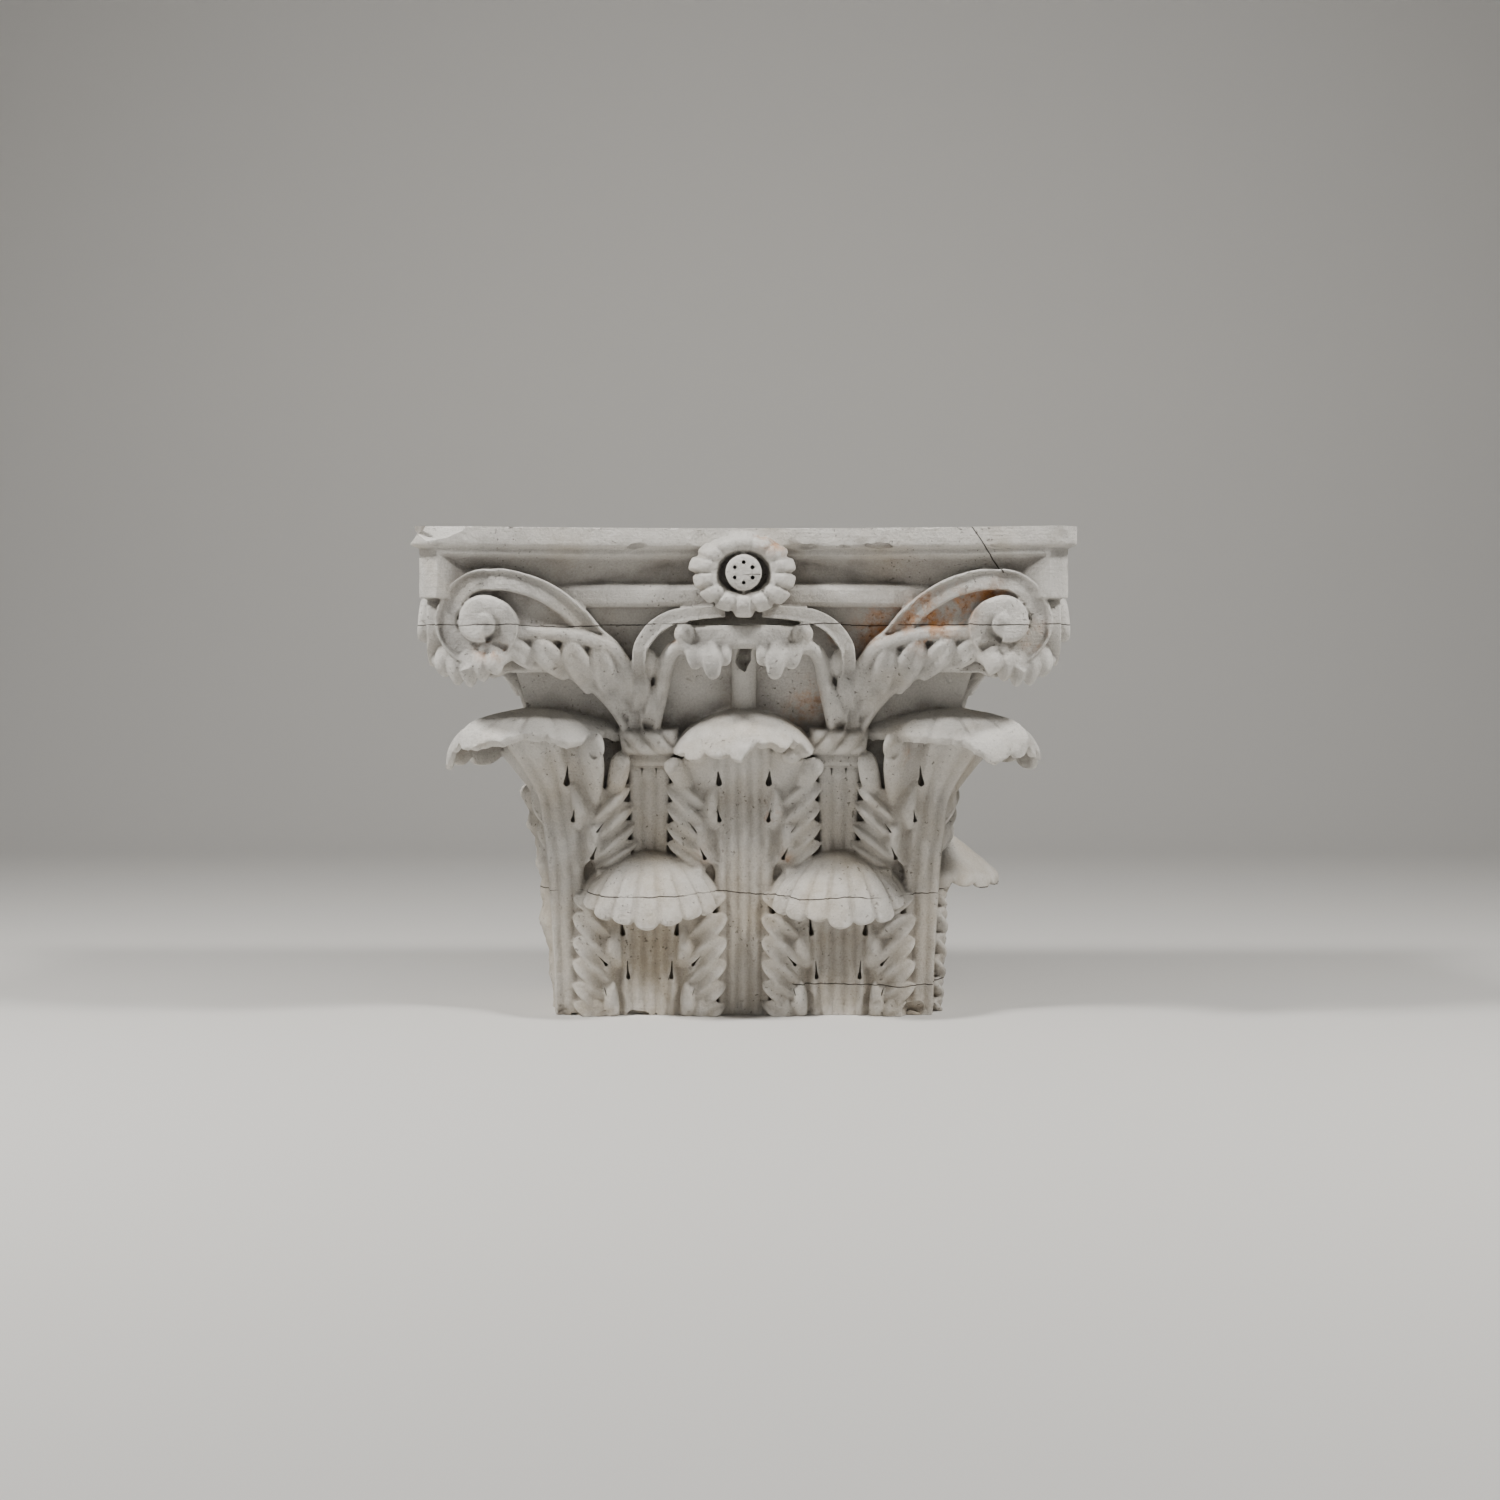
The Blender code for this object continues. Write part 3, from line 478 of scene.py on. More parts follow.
def carveCalyx(turn, mirror):
    middle, top = leaf["spacing"], calyx["top"]
    rings = []
    for z in np.linspace(0.18, top - 0.002, 30):
        half = calyx["stalkWidth"] / 2 * through([(0.18, 0.84), (top, 1.0)], z)
        s = half * np.linspace(-1, 1, 41)
        flutes = np.abs(np.sin(1.5 * np.pi * (s / half + 1))) ** 0.45
        flutes = flutes * through([(top - 0.024, 1), (top - 0.014, 0)], z)
        front = np.column_stack([middle + s, bell(z) + 0.0065 + 0.0050 * flutes, np.full(41, z)])
        rings.append(np.concatenate([front, (front - (0, 0.02, 0))[::-1]]))
    loft(rings, turn, mirror)
    cap = smoothLine([(middle + a, bell(top) + 0.004, top - 0.008) for a in (-0.028, 0.028)], 10)
    sweep(cap, 0.0085, 0.011, turn, mirror, roundSection(14, 5))
    rings = []
    for t in np.linspace(0, 1, 26):          # flat strands twisted round the top of the stalk
        z = top - 0.003 + calyx["collarHeight"] * t
        s = (0.031 + 0.006 * t) * np.linspace(-1, 1, 71)
        strand = (s - calyx["twist"] * (z - top)) / calyx["strand"] + 0.5
        gap = np.abs(strand - np.round(strand))
        plump = (1 - (2 * t - 1) ** 4) ** 0.5 * (1 - (np.abs(s) / 0.038) ** 4) ** 0.5
        rise = 0.008 + plump * (0.021 + 0.007 * (1 - np.exp(-((gap / 0.11) ** 2))) + 0.006 * gap)
        front = np.column_stack([middle + s, bell(z) + rise, np.full(71, z)])
        rings.append(np.concatenate([front, (front * (1, 0, 1) + (0, bell(z) - 0.02, 0))[::-1]]))
    loft(rings, turn, mirror)
    for i in (-1, 1):                        # where the flutes of the stalk start
        point = np.array([(-1 if mirror else 1) * (middle + 0.0088 * i), bell(top) + 0.010, top - 0.022])
        drillMarks.append((turn, point, 180, (0.45, 0.45), turn))
    for path, wide, deep in ((calyx["outerRib"], 0.0075, 0.016), (calyx["innerRib"], 0.0090, 0.014)):
        line = smoothLine(tucked(path, turn), 10)
        half = wide * through([(0, 0.7), (0.4, 1.1), (0.8, 1.1), (1, 0.6)], shares(line))
        sweep(line, half, deep, turn, mirror)
    lower = [(a + 0.008, b + 0.004, c - 0.014) for a, b, c in calyx["outerRib"][:5]]
    sweep(smoothLine(tucked(lower, turn), 10), 0.0060, 0.012, turn, mirror)
    sweep(smoothLine(tucked(calyx["ledge"], turn), 10), 0.0085, 0.016, turn, mirror, roundSection(14, 4))
    for group, blunt in ((calyx["knuckles"], 5), (calyx["petals"], 5), (calyx["drops"], 14)):
        for path, wide in group:
            lobe(tucked(path, turn), wide, wide * 0.95, turn, mirror, blunt=blunt, dish=0.35)


# Leaf tips below a pair of corner scrolls: (towards the front, height of the tip, width)
fringe = [(-0.014, 0.432, 0.024), (0.000, 0.421, 0.024), (0.014, 0.411, 0.025), (0.028, 0.409, 0.025),
          (0.042, 0.416, 0.024), (0.056, 0.424, 0.022)]


def carveFringe(turn):
    # they are lost on the return's side
    front = 1 if turn < 0 else -1
    for a, tip, wide in fringe:
        b = root2 * (abacus["horn"] - 0.036) - 0.5 * abs(a)
        path = [(front * a * 0.6, b - 0.06, 0.456), (front * a, b - 0.010, 0.446),
                (front * a * 1.1, b - 0.006, tip)]
        lobe(path, wide, 0.030, turn, square=2.8)


helix = {
    "eye": (0.0707, 0.3335, 0.4730),
    "arc": [(0.124, 0.284, 0.400), (0.1265, 0.304, 0.430), (0.1255, 0.318, 0.448), (0.1215, 0.326, 0.4620),
            (0.1068, 0.330, 0.4805), (0.0851, 0.332, 0.4930), (0.0635, 0.331, 0.4970),
            (0.0440, 0.328, 0.4990), (0.0250, 0.322, 0.5000)],
}


def carveHelix(turn, mirror):
    eye = np.array(helix["eye"])
    line = smoothLine(helix["arc"], 8)
    half = through([(0, 0.008), (0.5, 0.0092), (1, 0.0075)], shares(line))
    sweep(line, half, 0.013, turn, mirror, bandSection)
    knob = smoothLine([eye - (0, 0.03, 0), eye + (0, 0.006, 0), eye + (0, 0.013, 0)], 6)
    size = 0.0125 * np.sqrt(1.01 - shares(knob) ** 9)
    sweep(knob, size, size, turn, mirror, roundSection(20), roundOut)
    nipple = smoothLine([eye, eye + (0.002, 0.013, 0.002), eye + (0.002, 0.018, 0.002)], 6)
    size = 0.0062 * np.sqrt(1.01 - shares(nipple) ** 4)
    sweep(nipple, size, size, turn, mirror, roundSection(14), roundOut)


flower = {
    "wide": 0.065,
    "tall": 0.052,
    "centre": height - 0.0545,
    "petals": 14,
    "button": 0.0215,
    "holes": 6,
    # rings from the hollow round the button to behind the rim: (share out, forward, depth of the grooves)
    "section": [(0.30, -0.03, 0), (0.44, 0.006, 0), (0.47, 0.026, 0.1), (0.52, 0.039, 0.5),
                (0.62, 0.045, 0.9), (0.76, 0.045, 1), (0.90, 0.038, 1), (0.98, 0.028, 1), (1.0, 0.018, 1),
                (0.96, 0.004, 0.5), (0.88, -0.03, 0)],
}


def carveMiddle(turn):
    # the bar between the inner scrolls, the stem below it and the flower
    lip = bell(block["lipFoot"])
    bar = smoothLine([(-0.064, lip + 0.016, 0.4690), (-0.030, lip + 0.018, 0.4690), (0, lip + 0.018, 0.4700),
                      (0.030, lip + 0.018, 0.4690), (0.064, lip + 0.016, 0.4690)], 10)
    sweep(bar, 0.0145, 0.015, turn, section=roundSection(16, 6))
    stem = smoothLine([(0, bell(0.36), 0.34), (0, bell(0.425) + 0.004, 0.430),
                       (0, bell(0.46) + 0.004, 0.462)], 10)
    sweep(stem, 0.0155, 0.012, turn)
    face, middle = abacus["horn"] - abacus["hollow"], flower["centre"]
    core = smoothLine([(0, face - 0.04, middle), (0, face + 0.010, middle)], 4)
    sweep(core, flower["tall"] * 0.74, flower["wide"] * 0.74, turn, section=roundSection(32), out=roundOut)
    button = smoothLine([(0, face, middle), (0, face + 0.038, middle), (0, face + 0.046, middle)], 8)
    size = flower["button"] * np.sqrt(1.01 - shares(button) ** 6)
    sweep(button, size, size, turn, section=roundSection(28), out=roundOut)
    around = np.linspace(0, 2 * np.pi, 14 * flower["petals"], endpoint=False)
    phase = around / (2 * np.pi) * flower["petals"]
    gap = np.minimum(phase % 1, 1 - phase % 1)
    lengths = 0.94 + 0.09 * chance.random(flower["petals"])[phase.astype(int)]
    edge = lengths * (1 - 0.13 * np.exp(-((gap / 0.10) ** 2)))
    # the petals' upper half is worn to a rough ring
    worn = np.clip(np.sin(around) * 1.6 - 0.4, 0, 1)
    edge = edge * (1 - worn) + worn * (0.93 + 0.025 * chance.normal(size=len(around)))
    vee = np.exp(-((gap / 0.11) ** 2)) * (1 - 0.6 * worn)
    rings = []
    for r, out, groove in flower["section"]:
        reach = r if r < 0.8 else edge * r
        rings.append(np.column_stack([flower["wide"] * reach * np.cos(around),
                                      face + out - 0.0075 * groove * vee,
                                      middle + flower["tall"] * reach * np.sin(around)]))
    loft(rings, turn)
    for i in range(flower["holes"]):
        angle = math.radians(30 + 60 * i)
        r = flower["button"] * 0.56
        point = np.array([r * math.cos(angle), face + 0.042, middle + r * math.sin(angle)])
        drillMarks.append((turn, point, 0, None, turn))


brokenCentre = [(-1, 1), (-0.02, 1), (0.06, 0.84), (0.35, 0.78), (0.60, 0.80), (0.68, 1), (1, 1)]
brokenLeft = [(-1, 1), (0.02, 1), (0.10, 0.90), (0.22, 0.70), (0.55, 0.64), (0.90, 0.72), (1, 0.9)]
brokenRight = [(-1, 0.80), (-0.80, 0.66), (-0.50, 0.70), (-0.28, 0.84), (-0.20, 1), (1, 1)]


def carveAll():
    carveBell()
    carveAbacus()
    for turn in (-90, 0, 90):
        carveUpperLeaf(turn, False, brokenCentre if turn == 0 else None)
        carveMiddle(turn)
        for mirror in (False, True):
            if (turn == 90 and not mirror) or (turn == -90 and mirror):
                continue                     # that half of a return is beyond the wall
            shift = leaf["spacing"] * (-1 if mirror else 1)
            if turn == -90:
                carveStump(turn, shift)
            else:
                carveLowerLeaf(turn, shift)
            carveCalyx(turn, mirror)
            carveHelix(turn, mirror)
            carveVolute(turn, mirror)
    for turn in (-45, 45):
        carveUpperLeaf(turn, True, brokenLeft if turn == -45 else brokenRight)
        carveFringe(turn)


def meshOf(name, parts):
    points, faces, first = [], [], 0
    for verts, polys in parts:
        points.append(verts)
        faces += [[i + first for i in poly] for poly in polys]
        first += len(verts)
    mesh = bpy.data.meshes.new(name)
    mesh.from_pydata(np.vstack(points).tolist(), [], faces)
    made = bpy.data.objects.new(name, mesh)
    bpy.context.scene.collection.objects.link(made)
    return made


def settled(piece):
    # the piece with its modifiers worked into the mesh
    depsgraph = bpy.context.evaluated_depsgraph_get()
    depsgraph.update()
    mesh = bpy.data.meshes.new_from_object(piece.evaluated_get(depsgraph))
    piece.modifiers.clear()
    old = piece.data
    piece.data = mesh
    bpy.data.meshes.remove(old)
    return piece


def toLinear(code):
    parts = [int(code[i:i + 2], 16) / 255 for i in (1, 3, 5)]
    return tuple(c / 12.92 if c <= 0.04045 else ((c + 0.055) / 1.055) ** 2.4 for c in parts) + (1.0,)


def addNode(tree, kind, links=None, **settings):
    # a node with its settings; links maps an input's name or number to a socket or a value
    node = tree.nodes.new(kind)
    for key, value in settings.items():
        setattr(node, key, value)
    for key, value in (links or {}).items():
        if isinstance(value, bpy.types.NodeSocket):
            tree.links.new(value, node.inputs[key])
        else:
            node.inputs[key].default_value = value
    return node


def newTree(name, inputs):
    # a geometry tree with its input and output nodes, and its inputs' identifiers by name
    tree = bpy.data.node_groups.new(name, "GeometryNodeTree")
    tree.interface.new_socket("Geometry", in_out="INPUT", socket_type="NodeSocketGeometry")
    tree.interface.new_socket("Geometry", in_out="OUTPUT", socket_type="NodeSocketGeometry")
    keys = {}
    for label, kind in inputs:
        keys[label] = tree.interface.new_socket(label, in_out="INPUT", socket_type=kind).identifier
    return tree, tree.nodes.new("NodeGroupInput"), tree.nodes.new("NodeGroupOutput"), keys


def grow(carrier, tree, keys, values):
    # runs a tree on the carrier and keeps the result as its mesh
    grown = carrier.modifiers.new(tree.name, "NODES")
    grown.node_group = tree
    for label, value in values.items():
        grown[keys[label]] = value
    return settled(carrier)


def pointCloud(name, places, extras):
    # loose points that carry what each copy placed on them needs
    mesh = bpy.data.meshes.new(name)
    mesh.from_pydata([tuple(p) for p in places], [], [])
    for label, values in extras.items():
        layer = mesh.attributes.new(label, "FLOAT_VECTOR", "POINT")
        layer.data.foreach_set("vector", np.array(values, float).ravel())
    made = bpy.data.objects.new(name, mesh)
    bpy.context.scene.collection.objects.link(made)
    return made


def worldPlace(point, turn):
    c, s = math.cos(math.radians(turn)), math.sin(math.radians(turn))
    a, b, z = point
    return np.array([c * a + s * b, s * a - c * b + block["axisY"], z])


def copiesTree():
    # copies of one cutter on every point, turned and scaled by the point's own values
    inputs = [("Copy", "NodeSocketObject"), ("Stone", "NodeSocketMaterial"), ("Rough", "NodeSocketFloat"),
              ("Seed", "NodeSocketFloat")]
    tree, start, end, keys = newTree("placed_copies", inputs)
    source = addNode(tree, "GeometryNodeObjectInfo", {"Object": start.outputs["Copy"]},
                     transform_space="ORIGINAL")
    angles = addNode(tree, "GeometryNodeInputNamedAttribute", {"Name": "turned"}, data_type="FLOAT_VECTOR")
    sizes = addNode(tree, "GeometryNodeInputNamedAttribute", {"Name": "sized"}, data_type="FLOAT_VECTOR")
    placed = addNode(tree, "GeometryNodeInstanceOnPoints",
                     {"Points": start.outputs["Geometry"], "Instance": source.outputs["Geometry"],
                      "Rotation": angles.outputs["Attribute"], "Scale": sizes.outputs["Attribute"]})
    real = addNode(tree, "GeometryNodeRealizeInstances", {"Geometry": placed.outputs["Instances"]})
    grain = addNode(tree, "ShaderNodeTexNoise", {"Scale": 55.0, "Detail": 3.0, "W": start.outputs["Seed"]},
                    noise_dimensions="4D")
    centred = addNode(tree, "ShaderNodeMath", {0: grain.outputs[0], 1: 0.5}, operation="SUBTRACT")
    amount = addNode(tree, "ShaderNodeMath", {0: centred.outputs[0], 1: start.outputs["Rough"]},
                     operation="MULTIPLY")
    push = addNode(tree, "ShaderNodeVectorMath", {0: addNode(tree, "GeometryNodeInputNormal").outputs[0],
                                                  "Scale": amount.outputs[0]}, operation="SCALE")
    rough = addNode(tree, "GeometryNodeSetPosition", {"Geometry": real.outputs[0], "Offset": push.outputs[0]})
    stone = addNode(tree, "GeometryNodeSetMaterial",
                    {"Geometry": rough.outputs[0], "Material": start.outputs["Stone"]})
    tree.links.new(stone.outputs[0], end.inputs[0])
    return tree, keys


def weatherTree():
    # worn, pitted and tooled skin of the finished carving
    inputs = [("Wear", "NodeSocketFloat"), ("Grain", "NodeSocketFloat"), ("Pits", "NodeSocketFloat"),
              ("Stone", "NodeSocketMaterial")]
    tree, start, end, keys = newTree("weathering", inputs)
    place = addNode(tree, "GeometryNodeInputPosition").outputs[0]
    parts = []
    for scale, detail, label in ((22.0, 2.0, "Wear"), (130.0, 3.0, "Grain")):
        noise = addNode(tree, "ShaderNodeTexNoise",
                        {"Vector": place, "Scale": scale, "Detail": detail, "W": 2.0}, noise_dimensions="4D")
        centred = addNode(tree, "ShaderNodeMath", {0: noise.outputs[0], 1: 0.5}, operation="SUBTRACT")
        parts.append(addNode(tree, "ShaderNodeMath", {0: centred.outputs[0], 1: start.outputs[label]},
                             operation="MULTIPLY").outputs[0])
    cells = addNode(tree, "ShaderNodeTexVoronoi", {"Vector": place, "Scale": 62.0, "W": 1.0},
                    voronoi_dimensions="4D")
    pit = addNode(tree, "ShaderNodeMapRange", {"Value": cells.outputs["Distance"], "From Min": 0.05,
                                               "From Max": 0.22, "To Min": -1.0, "To Max": 0.0})
    patches = addNode(tree, "ShaderNodeTexNoise", {"Vector": place, "Scale": 9.0, "Detail": 2.0})
    where = addNode(tree, "ShaderNodeMapRange",
                    {"Value": patches.outputs[0], "From Min": 0.5, "From Max": 0.62})
    pitted = addNode(tree, "ShaderNodeMath", {0: pit.outputs[0], 1: where.outputs[0]}, operation="MULTIPLY")
    parts.append(addNode(tree, "ShaderNodeMath", {0: pitted.outputs[0], 1: start.outputs["Pits"]},
                         operation="MULTIPLY").outputs[0])
    both = addNode(tree, "ShaderNodeMath", {0: parts[0], 1: parts[1]}, operation="ADD")
    whole = addNode(tree, "ShaderNodeMath", {0: both.outputs[0], 1: parts[2]}, operation="ADD")
    push = addNode(tree, "ShaderNodeVectorMath", {0: addNode(tree, "GeometryNodeInputNormal").outputs[0],
                                                  "Scale": whole.outputs[0]}, operation="SCALE")
    moved = addNode(tree, "GeometryNodeSetPosition",
                    {"Geometry": start.outputs["Geometry"], "Offset": push.outputs[0]})
    real = addNode(tree, "GeometryNodeRealizeInstances", {"Geometry": moved.outputs[0]})
    stone = addNode(tree, "GeometryNodeSetMaterial",
                    {"Geometry": real.outputs[0], "Material": start.outputs["Stone"]})
    tree.links.new(stone.outputs[0], end.inputs[0])
    return tree, keys


def cut(piece, cutter, operation="DIFFERENCE"):
    saw = piece.modifiers.new("cut", "BOOLEAN")
    saw.operation = operation
    saw.solver = "MANIFOLD"
    saw.object = cutter
    settled(piece)
    bpy.data.objects.remove(cutter, do_unlink=True)


def outerShell(piece):
    # drops the closed hollows that fusing leaves inside the block
    mesh = piece.data
    count = len(mesh.vertices)
    edges = np.empty(len(mesh.edges) * 2, np.int32)
    mesh.edges.foreach_get("vertices", edges)
    a, b = edges[0::2], edges[1::2]
    label = np.arange(count)
    while True:
        low = np.minimum(label[a], label[b])
        fresh = label.copy()
        np.minimum.at(fresh, a, low)
        np.minimum.at(fresh, b, low)
        fresh = fresh[fresh]
        if np.array_equal(fresh, label):
            break
        label = fresh
    names, sizes = np.unique(label, return_counts=True)
    inside = label != names[np.argmax(sizes)]
    if inside.any():
        work = bmesh.new()
        work.from_mesh(mesh)
        work.verts.ensure_lookup_table()
        bmesh.ops.delete(work, geom=[work.verts[i] for i in np.flatnonzero(inside)], context="VERTS")
        work.to_mesh(mesh)
        work.free()
    print("hollows dropped:", len(names) - 1)


def drillCutter():
    # a drop: thin above, round below, as the running drill left it
    line = smoothLine([(0, 0, 0.014), (0, 0, 0.005), (0, 0, -0.003), (0, 0, -0.0072)], 8)
    half = through([(0, 0.0007), (0.40, 0.0016), (0.72, 0.0036), (0.86, 0.0036), (1, 0.0014)], shares(line))
    parts = []
    sweep(line, half, 0.012, 0, False, roundSection(16, 3), into=parts)
    parts = [(verts - (0, block["axisY"], 0), faces) for verts, faces in parts]
    return meshOf("drill_drop", parts)


def holeCutter():
    line = smoothLine([(0, -0.02, 0), (0, 0.02, 0)], 2)
    parts = []
    sweep(line, 0.0026, 0.0026, 0, False, roundSection(12), out=roundOut, into=parts)
    parts = [(verts - (0, block["axisY"], 0), faces) for verts, faces in parts]
    return meshOf("drill_hole", parts)


def lumpCutter():
    bpy.ops.mesh.primitive_ico_sphere_add(subdivisions=4, radius=1)
    lump = bpy.context.active_object
    lump.name = "lump"
    return lump


# Where stone is knocked off: (across, out, up) and (size across, out, up), with the turn of its face
breaks = [
    (0, (-0.366, 0.410, 0.604), (0.060, 0.036, 0.024)),    # left horn, top edge
    (0, (-0.398, 0.400, 0.604), (0.026, 0.024, 0.020)),
    (0, (-0.398, 0.404, 0.582), (0.020, 0.022, 0.014)),
    (0, (-0.330, 0.408, 0.574), (0.030, 0.020, 0.008)),
    (-90, (0.366, 0.412, 0.598), (0.060, 0.030, 0.022)),
    (0, (0.394, 0.408, 0.590), (0.026, 0.026, 0.020)),     # right horn
    (0, (0.398, 0.398, 0.548), (0.018, 0.016, 0.024)),
    (0, (0.0, 0.300, 0.447), (0.0095, 0.020, 0.0225)),     # notch under the bar
    (0, (-0.372, 0.392, 0.452), (0.024, 0.020, 0.034)),    # lower outer rim of the left scroll
    (0, (-0.330, 0.398, 0.424), (0.030, 0.018, 0.012)),
    (0, (0.378, 0.396, 0.440), (0.020, 0.018, 0.030)),
    (-90, (0.350, 0.412, 0.500), (0.034, 0.018, 0.030)),   # return scrolls
    (-90, (0.320, 0.408, 0.440), (0.040, 0.018, 0.024)),
    (90, (-0.350, 0.412, 0.510), (0.030, 0.018, 0.026)),
    (90, (-0.320, 0.408, 0.446), (0.036, 0.018, 0.026)),
    (0, (0.214, 0.250, 0.006), (0.020, 0.022, 0.016)),     # bottom corners
    (0, (-0.222, 0.246, 0.004), (0.012, 0.014, 0.010)),
    (0, (0.012, 0.398, 0.604), (0.046, 0.026, 0.012)),     # top of the flower
    (0, (0.150, 0.262, 0.016), (0.050, 0.010, 0.012)),
]


def edgeChips():
    # small bites along the top and foot of the fascia and along the bottom arris
    bites = []
    for i in range(34):
        u = 0.76 * (chance.random() - 0.5)
        end = abacus["horn"] - abacus["hornFace"] / root2
        out = abacus["horn"] - abacus["hollow"] * (1 - (u / end) ** 2) if abs(u) < end else abacus["horn"]
        z = height + 0.003 if i % 2 else height - abacus["fascia"]
        if i % 5 == 0:
            u, out, z = 0.58 * u, block["halfShaft"] + 0.004, 0.0
        size = 0.003 + 0.006 * chance.random() ** 2
        bites.append((0, (u, out + 0.2 * size, z), (size * (1.5 + 2 * chance.random()), size, 0.8 * size)))
    return bites


# Rust-coloured stains, as (across, out, up) on the front with a radius
stains = [
    ((0.218, 0.352, 0.492), 0.040), ((0.262, 0.362, 0.505), 0.030), ((0.292, 0.366, 0.515), 0.022),
    ((0.166, 0.310, 0.478), 0.034), ((0.148, 0.306, 0.452), 0.020), ((0.116, 0.300, 0.470), 0.016),
    ((0.086, 0.282, 0.395), 0.024), ((0.070, 0.278, 0.375), 0.020), ((-0.086, 0.330, 0.470), 0.012),
    ((0.030, 0.262, 0.250), 0.014), ((-0.048, 0.256, 0.196), 0.012), ((0.048, 0.256, 0.196), 0.012),
    ((0.060, 0.240, 0.150), 0.014), ((0.193, 0.280, 0.325), 0.012), ((0.040, 0.372, 0.590), 0.026),
    ((0.345, 0.380, 0.470), 0.016), ((-0.300, 0.380, 0.455), 0.018),
]


def paintStone(piece):
    # hollow: how far a point lies below the stone around it, which the material darkens as dirt and painted
    # shade; edge: how far above; stain: rust
    mesh = piece.data
    count = len(mesh.vertices)
    points = np.empty(count * 3, np.float32)
    normals = np.empty(count * 3, np.float32)
    edges = np.empty(len(mesh.edges) * 2, np.int32)
    mesh.vertices.foreach_get("co", points)
    mesh.vertex_normals.foreach_get("vector", normals)
    mesh.edges.foreach_get("vertices", edges)
    points, normals = points.reshape(-1, 3).astype(float), normals.reshape(-1, 3)
    a, b = edges[0::2], edges[1::2]
    degree = np.bincount(a, minlength=count) + np.bincount(b, minlength=count)

    def spread(values, rounds):
        for _ in range(rounds):
            total = [np.bincount(a, values[:, k][b], count) + np.bincount(b, values[:, k][a], count)
                     for k in range(values.shape[1])]
            values = 0.4 * values + 0.6 * np.stack(total, 1) / degree[:, None]
        return values

    near = spread(points, 8)
    far = spread(near, 70)
    fine = ((near - points) * normals).sum(1)
    broad = ((far - points) * normals).sum(1)
    hollow = np.clip(fine / 0.0022, 0, 1) * 0.55 + np.clip(broad / 0.011, 0, 1) * 0.6
    edge = np.clip(-fine / 0.0024, 0, 1)
    stain = np.zeros(count)
    for (x, out, z), radius in stains:
        away = np.linalg.norm(points - (x, block["axisY"] - out, z), axis=1)
        stain = np.maximum(stain, np.clip(1.25 - away / radius, 0, 1))
    for label, values in (("hollow", hollow), ("edge", edge), ("stain", stain)):
        soft = spread(values[:, None], 2)[:, 0].astype(np.float32)
        layer = mesh.attributes.new(label, "FLOAT", "POINT")
        layer.data.foreach_set("value", np.clip(soft, 0, 1))


stone = {
    "pale": "#CFCCC6",
    "warm": "#BDB19D",
    "grey": "#A3A2A0",
    "dirtAndShade": "#494037",
    # dark brown for grains, pits, dirt and the painted shade in hollows
    "fresh": "#DCD9D3",
    "rust": "#B5762E",
    "deepRust": "#6E4420",
    "crack": "#2A231C",
    "roughness": 0.88,
}
# Level cracks: height, how far the line wanders and the x range it runs over
cracks = [(0.4835, 0.0030, -1.0, 1.0), (0.5430, 0.0010, -0.020, 0.020), (0.1530, 0.0045, -1.0, 1.0),
          (0.0385, 0.0035, 0.06, 1.0)]
# A slanting crack over the right end of the abacus: a point of it, its slope and where it stops below
slantCrack = {"x": 0.271, "z": 0.599, "slope": 1.46, "above": 0.545}


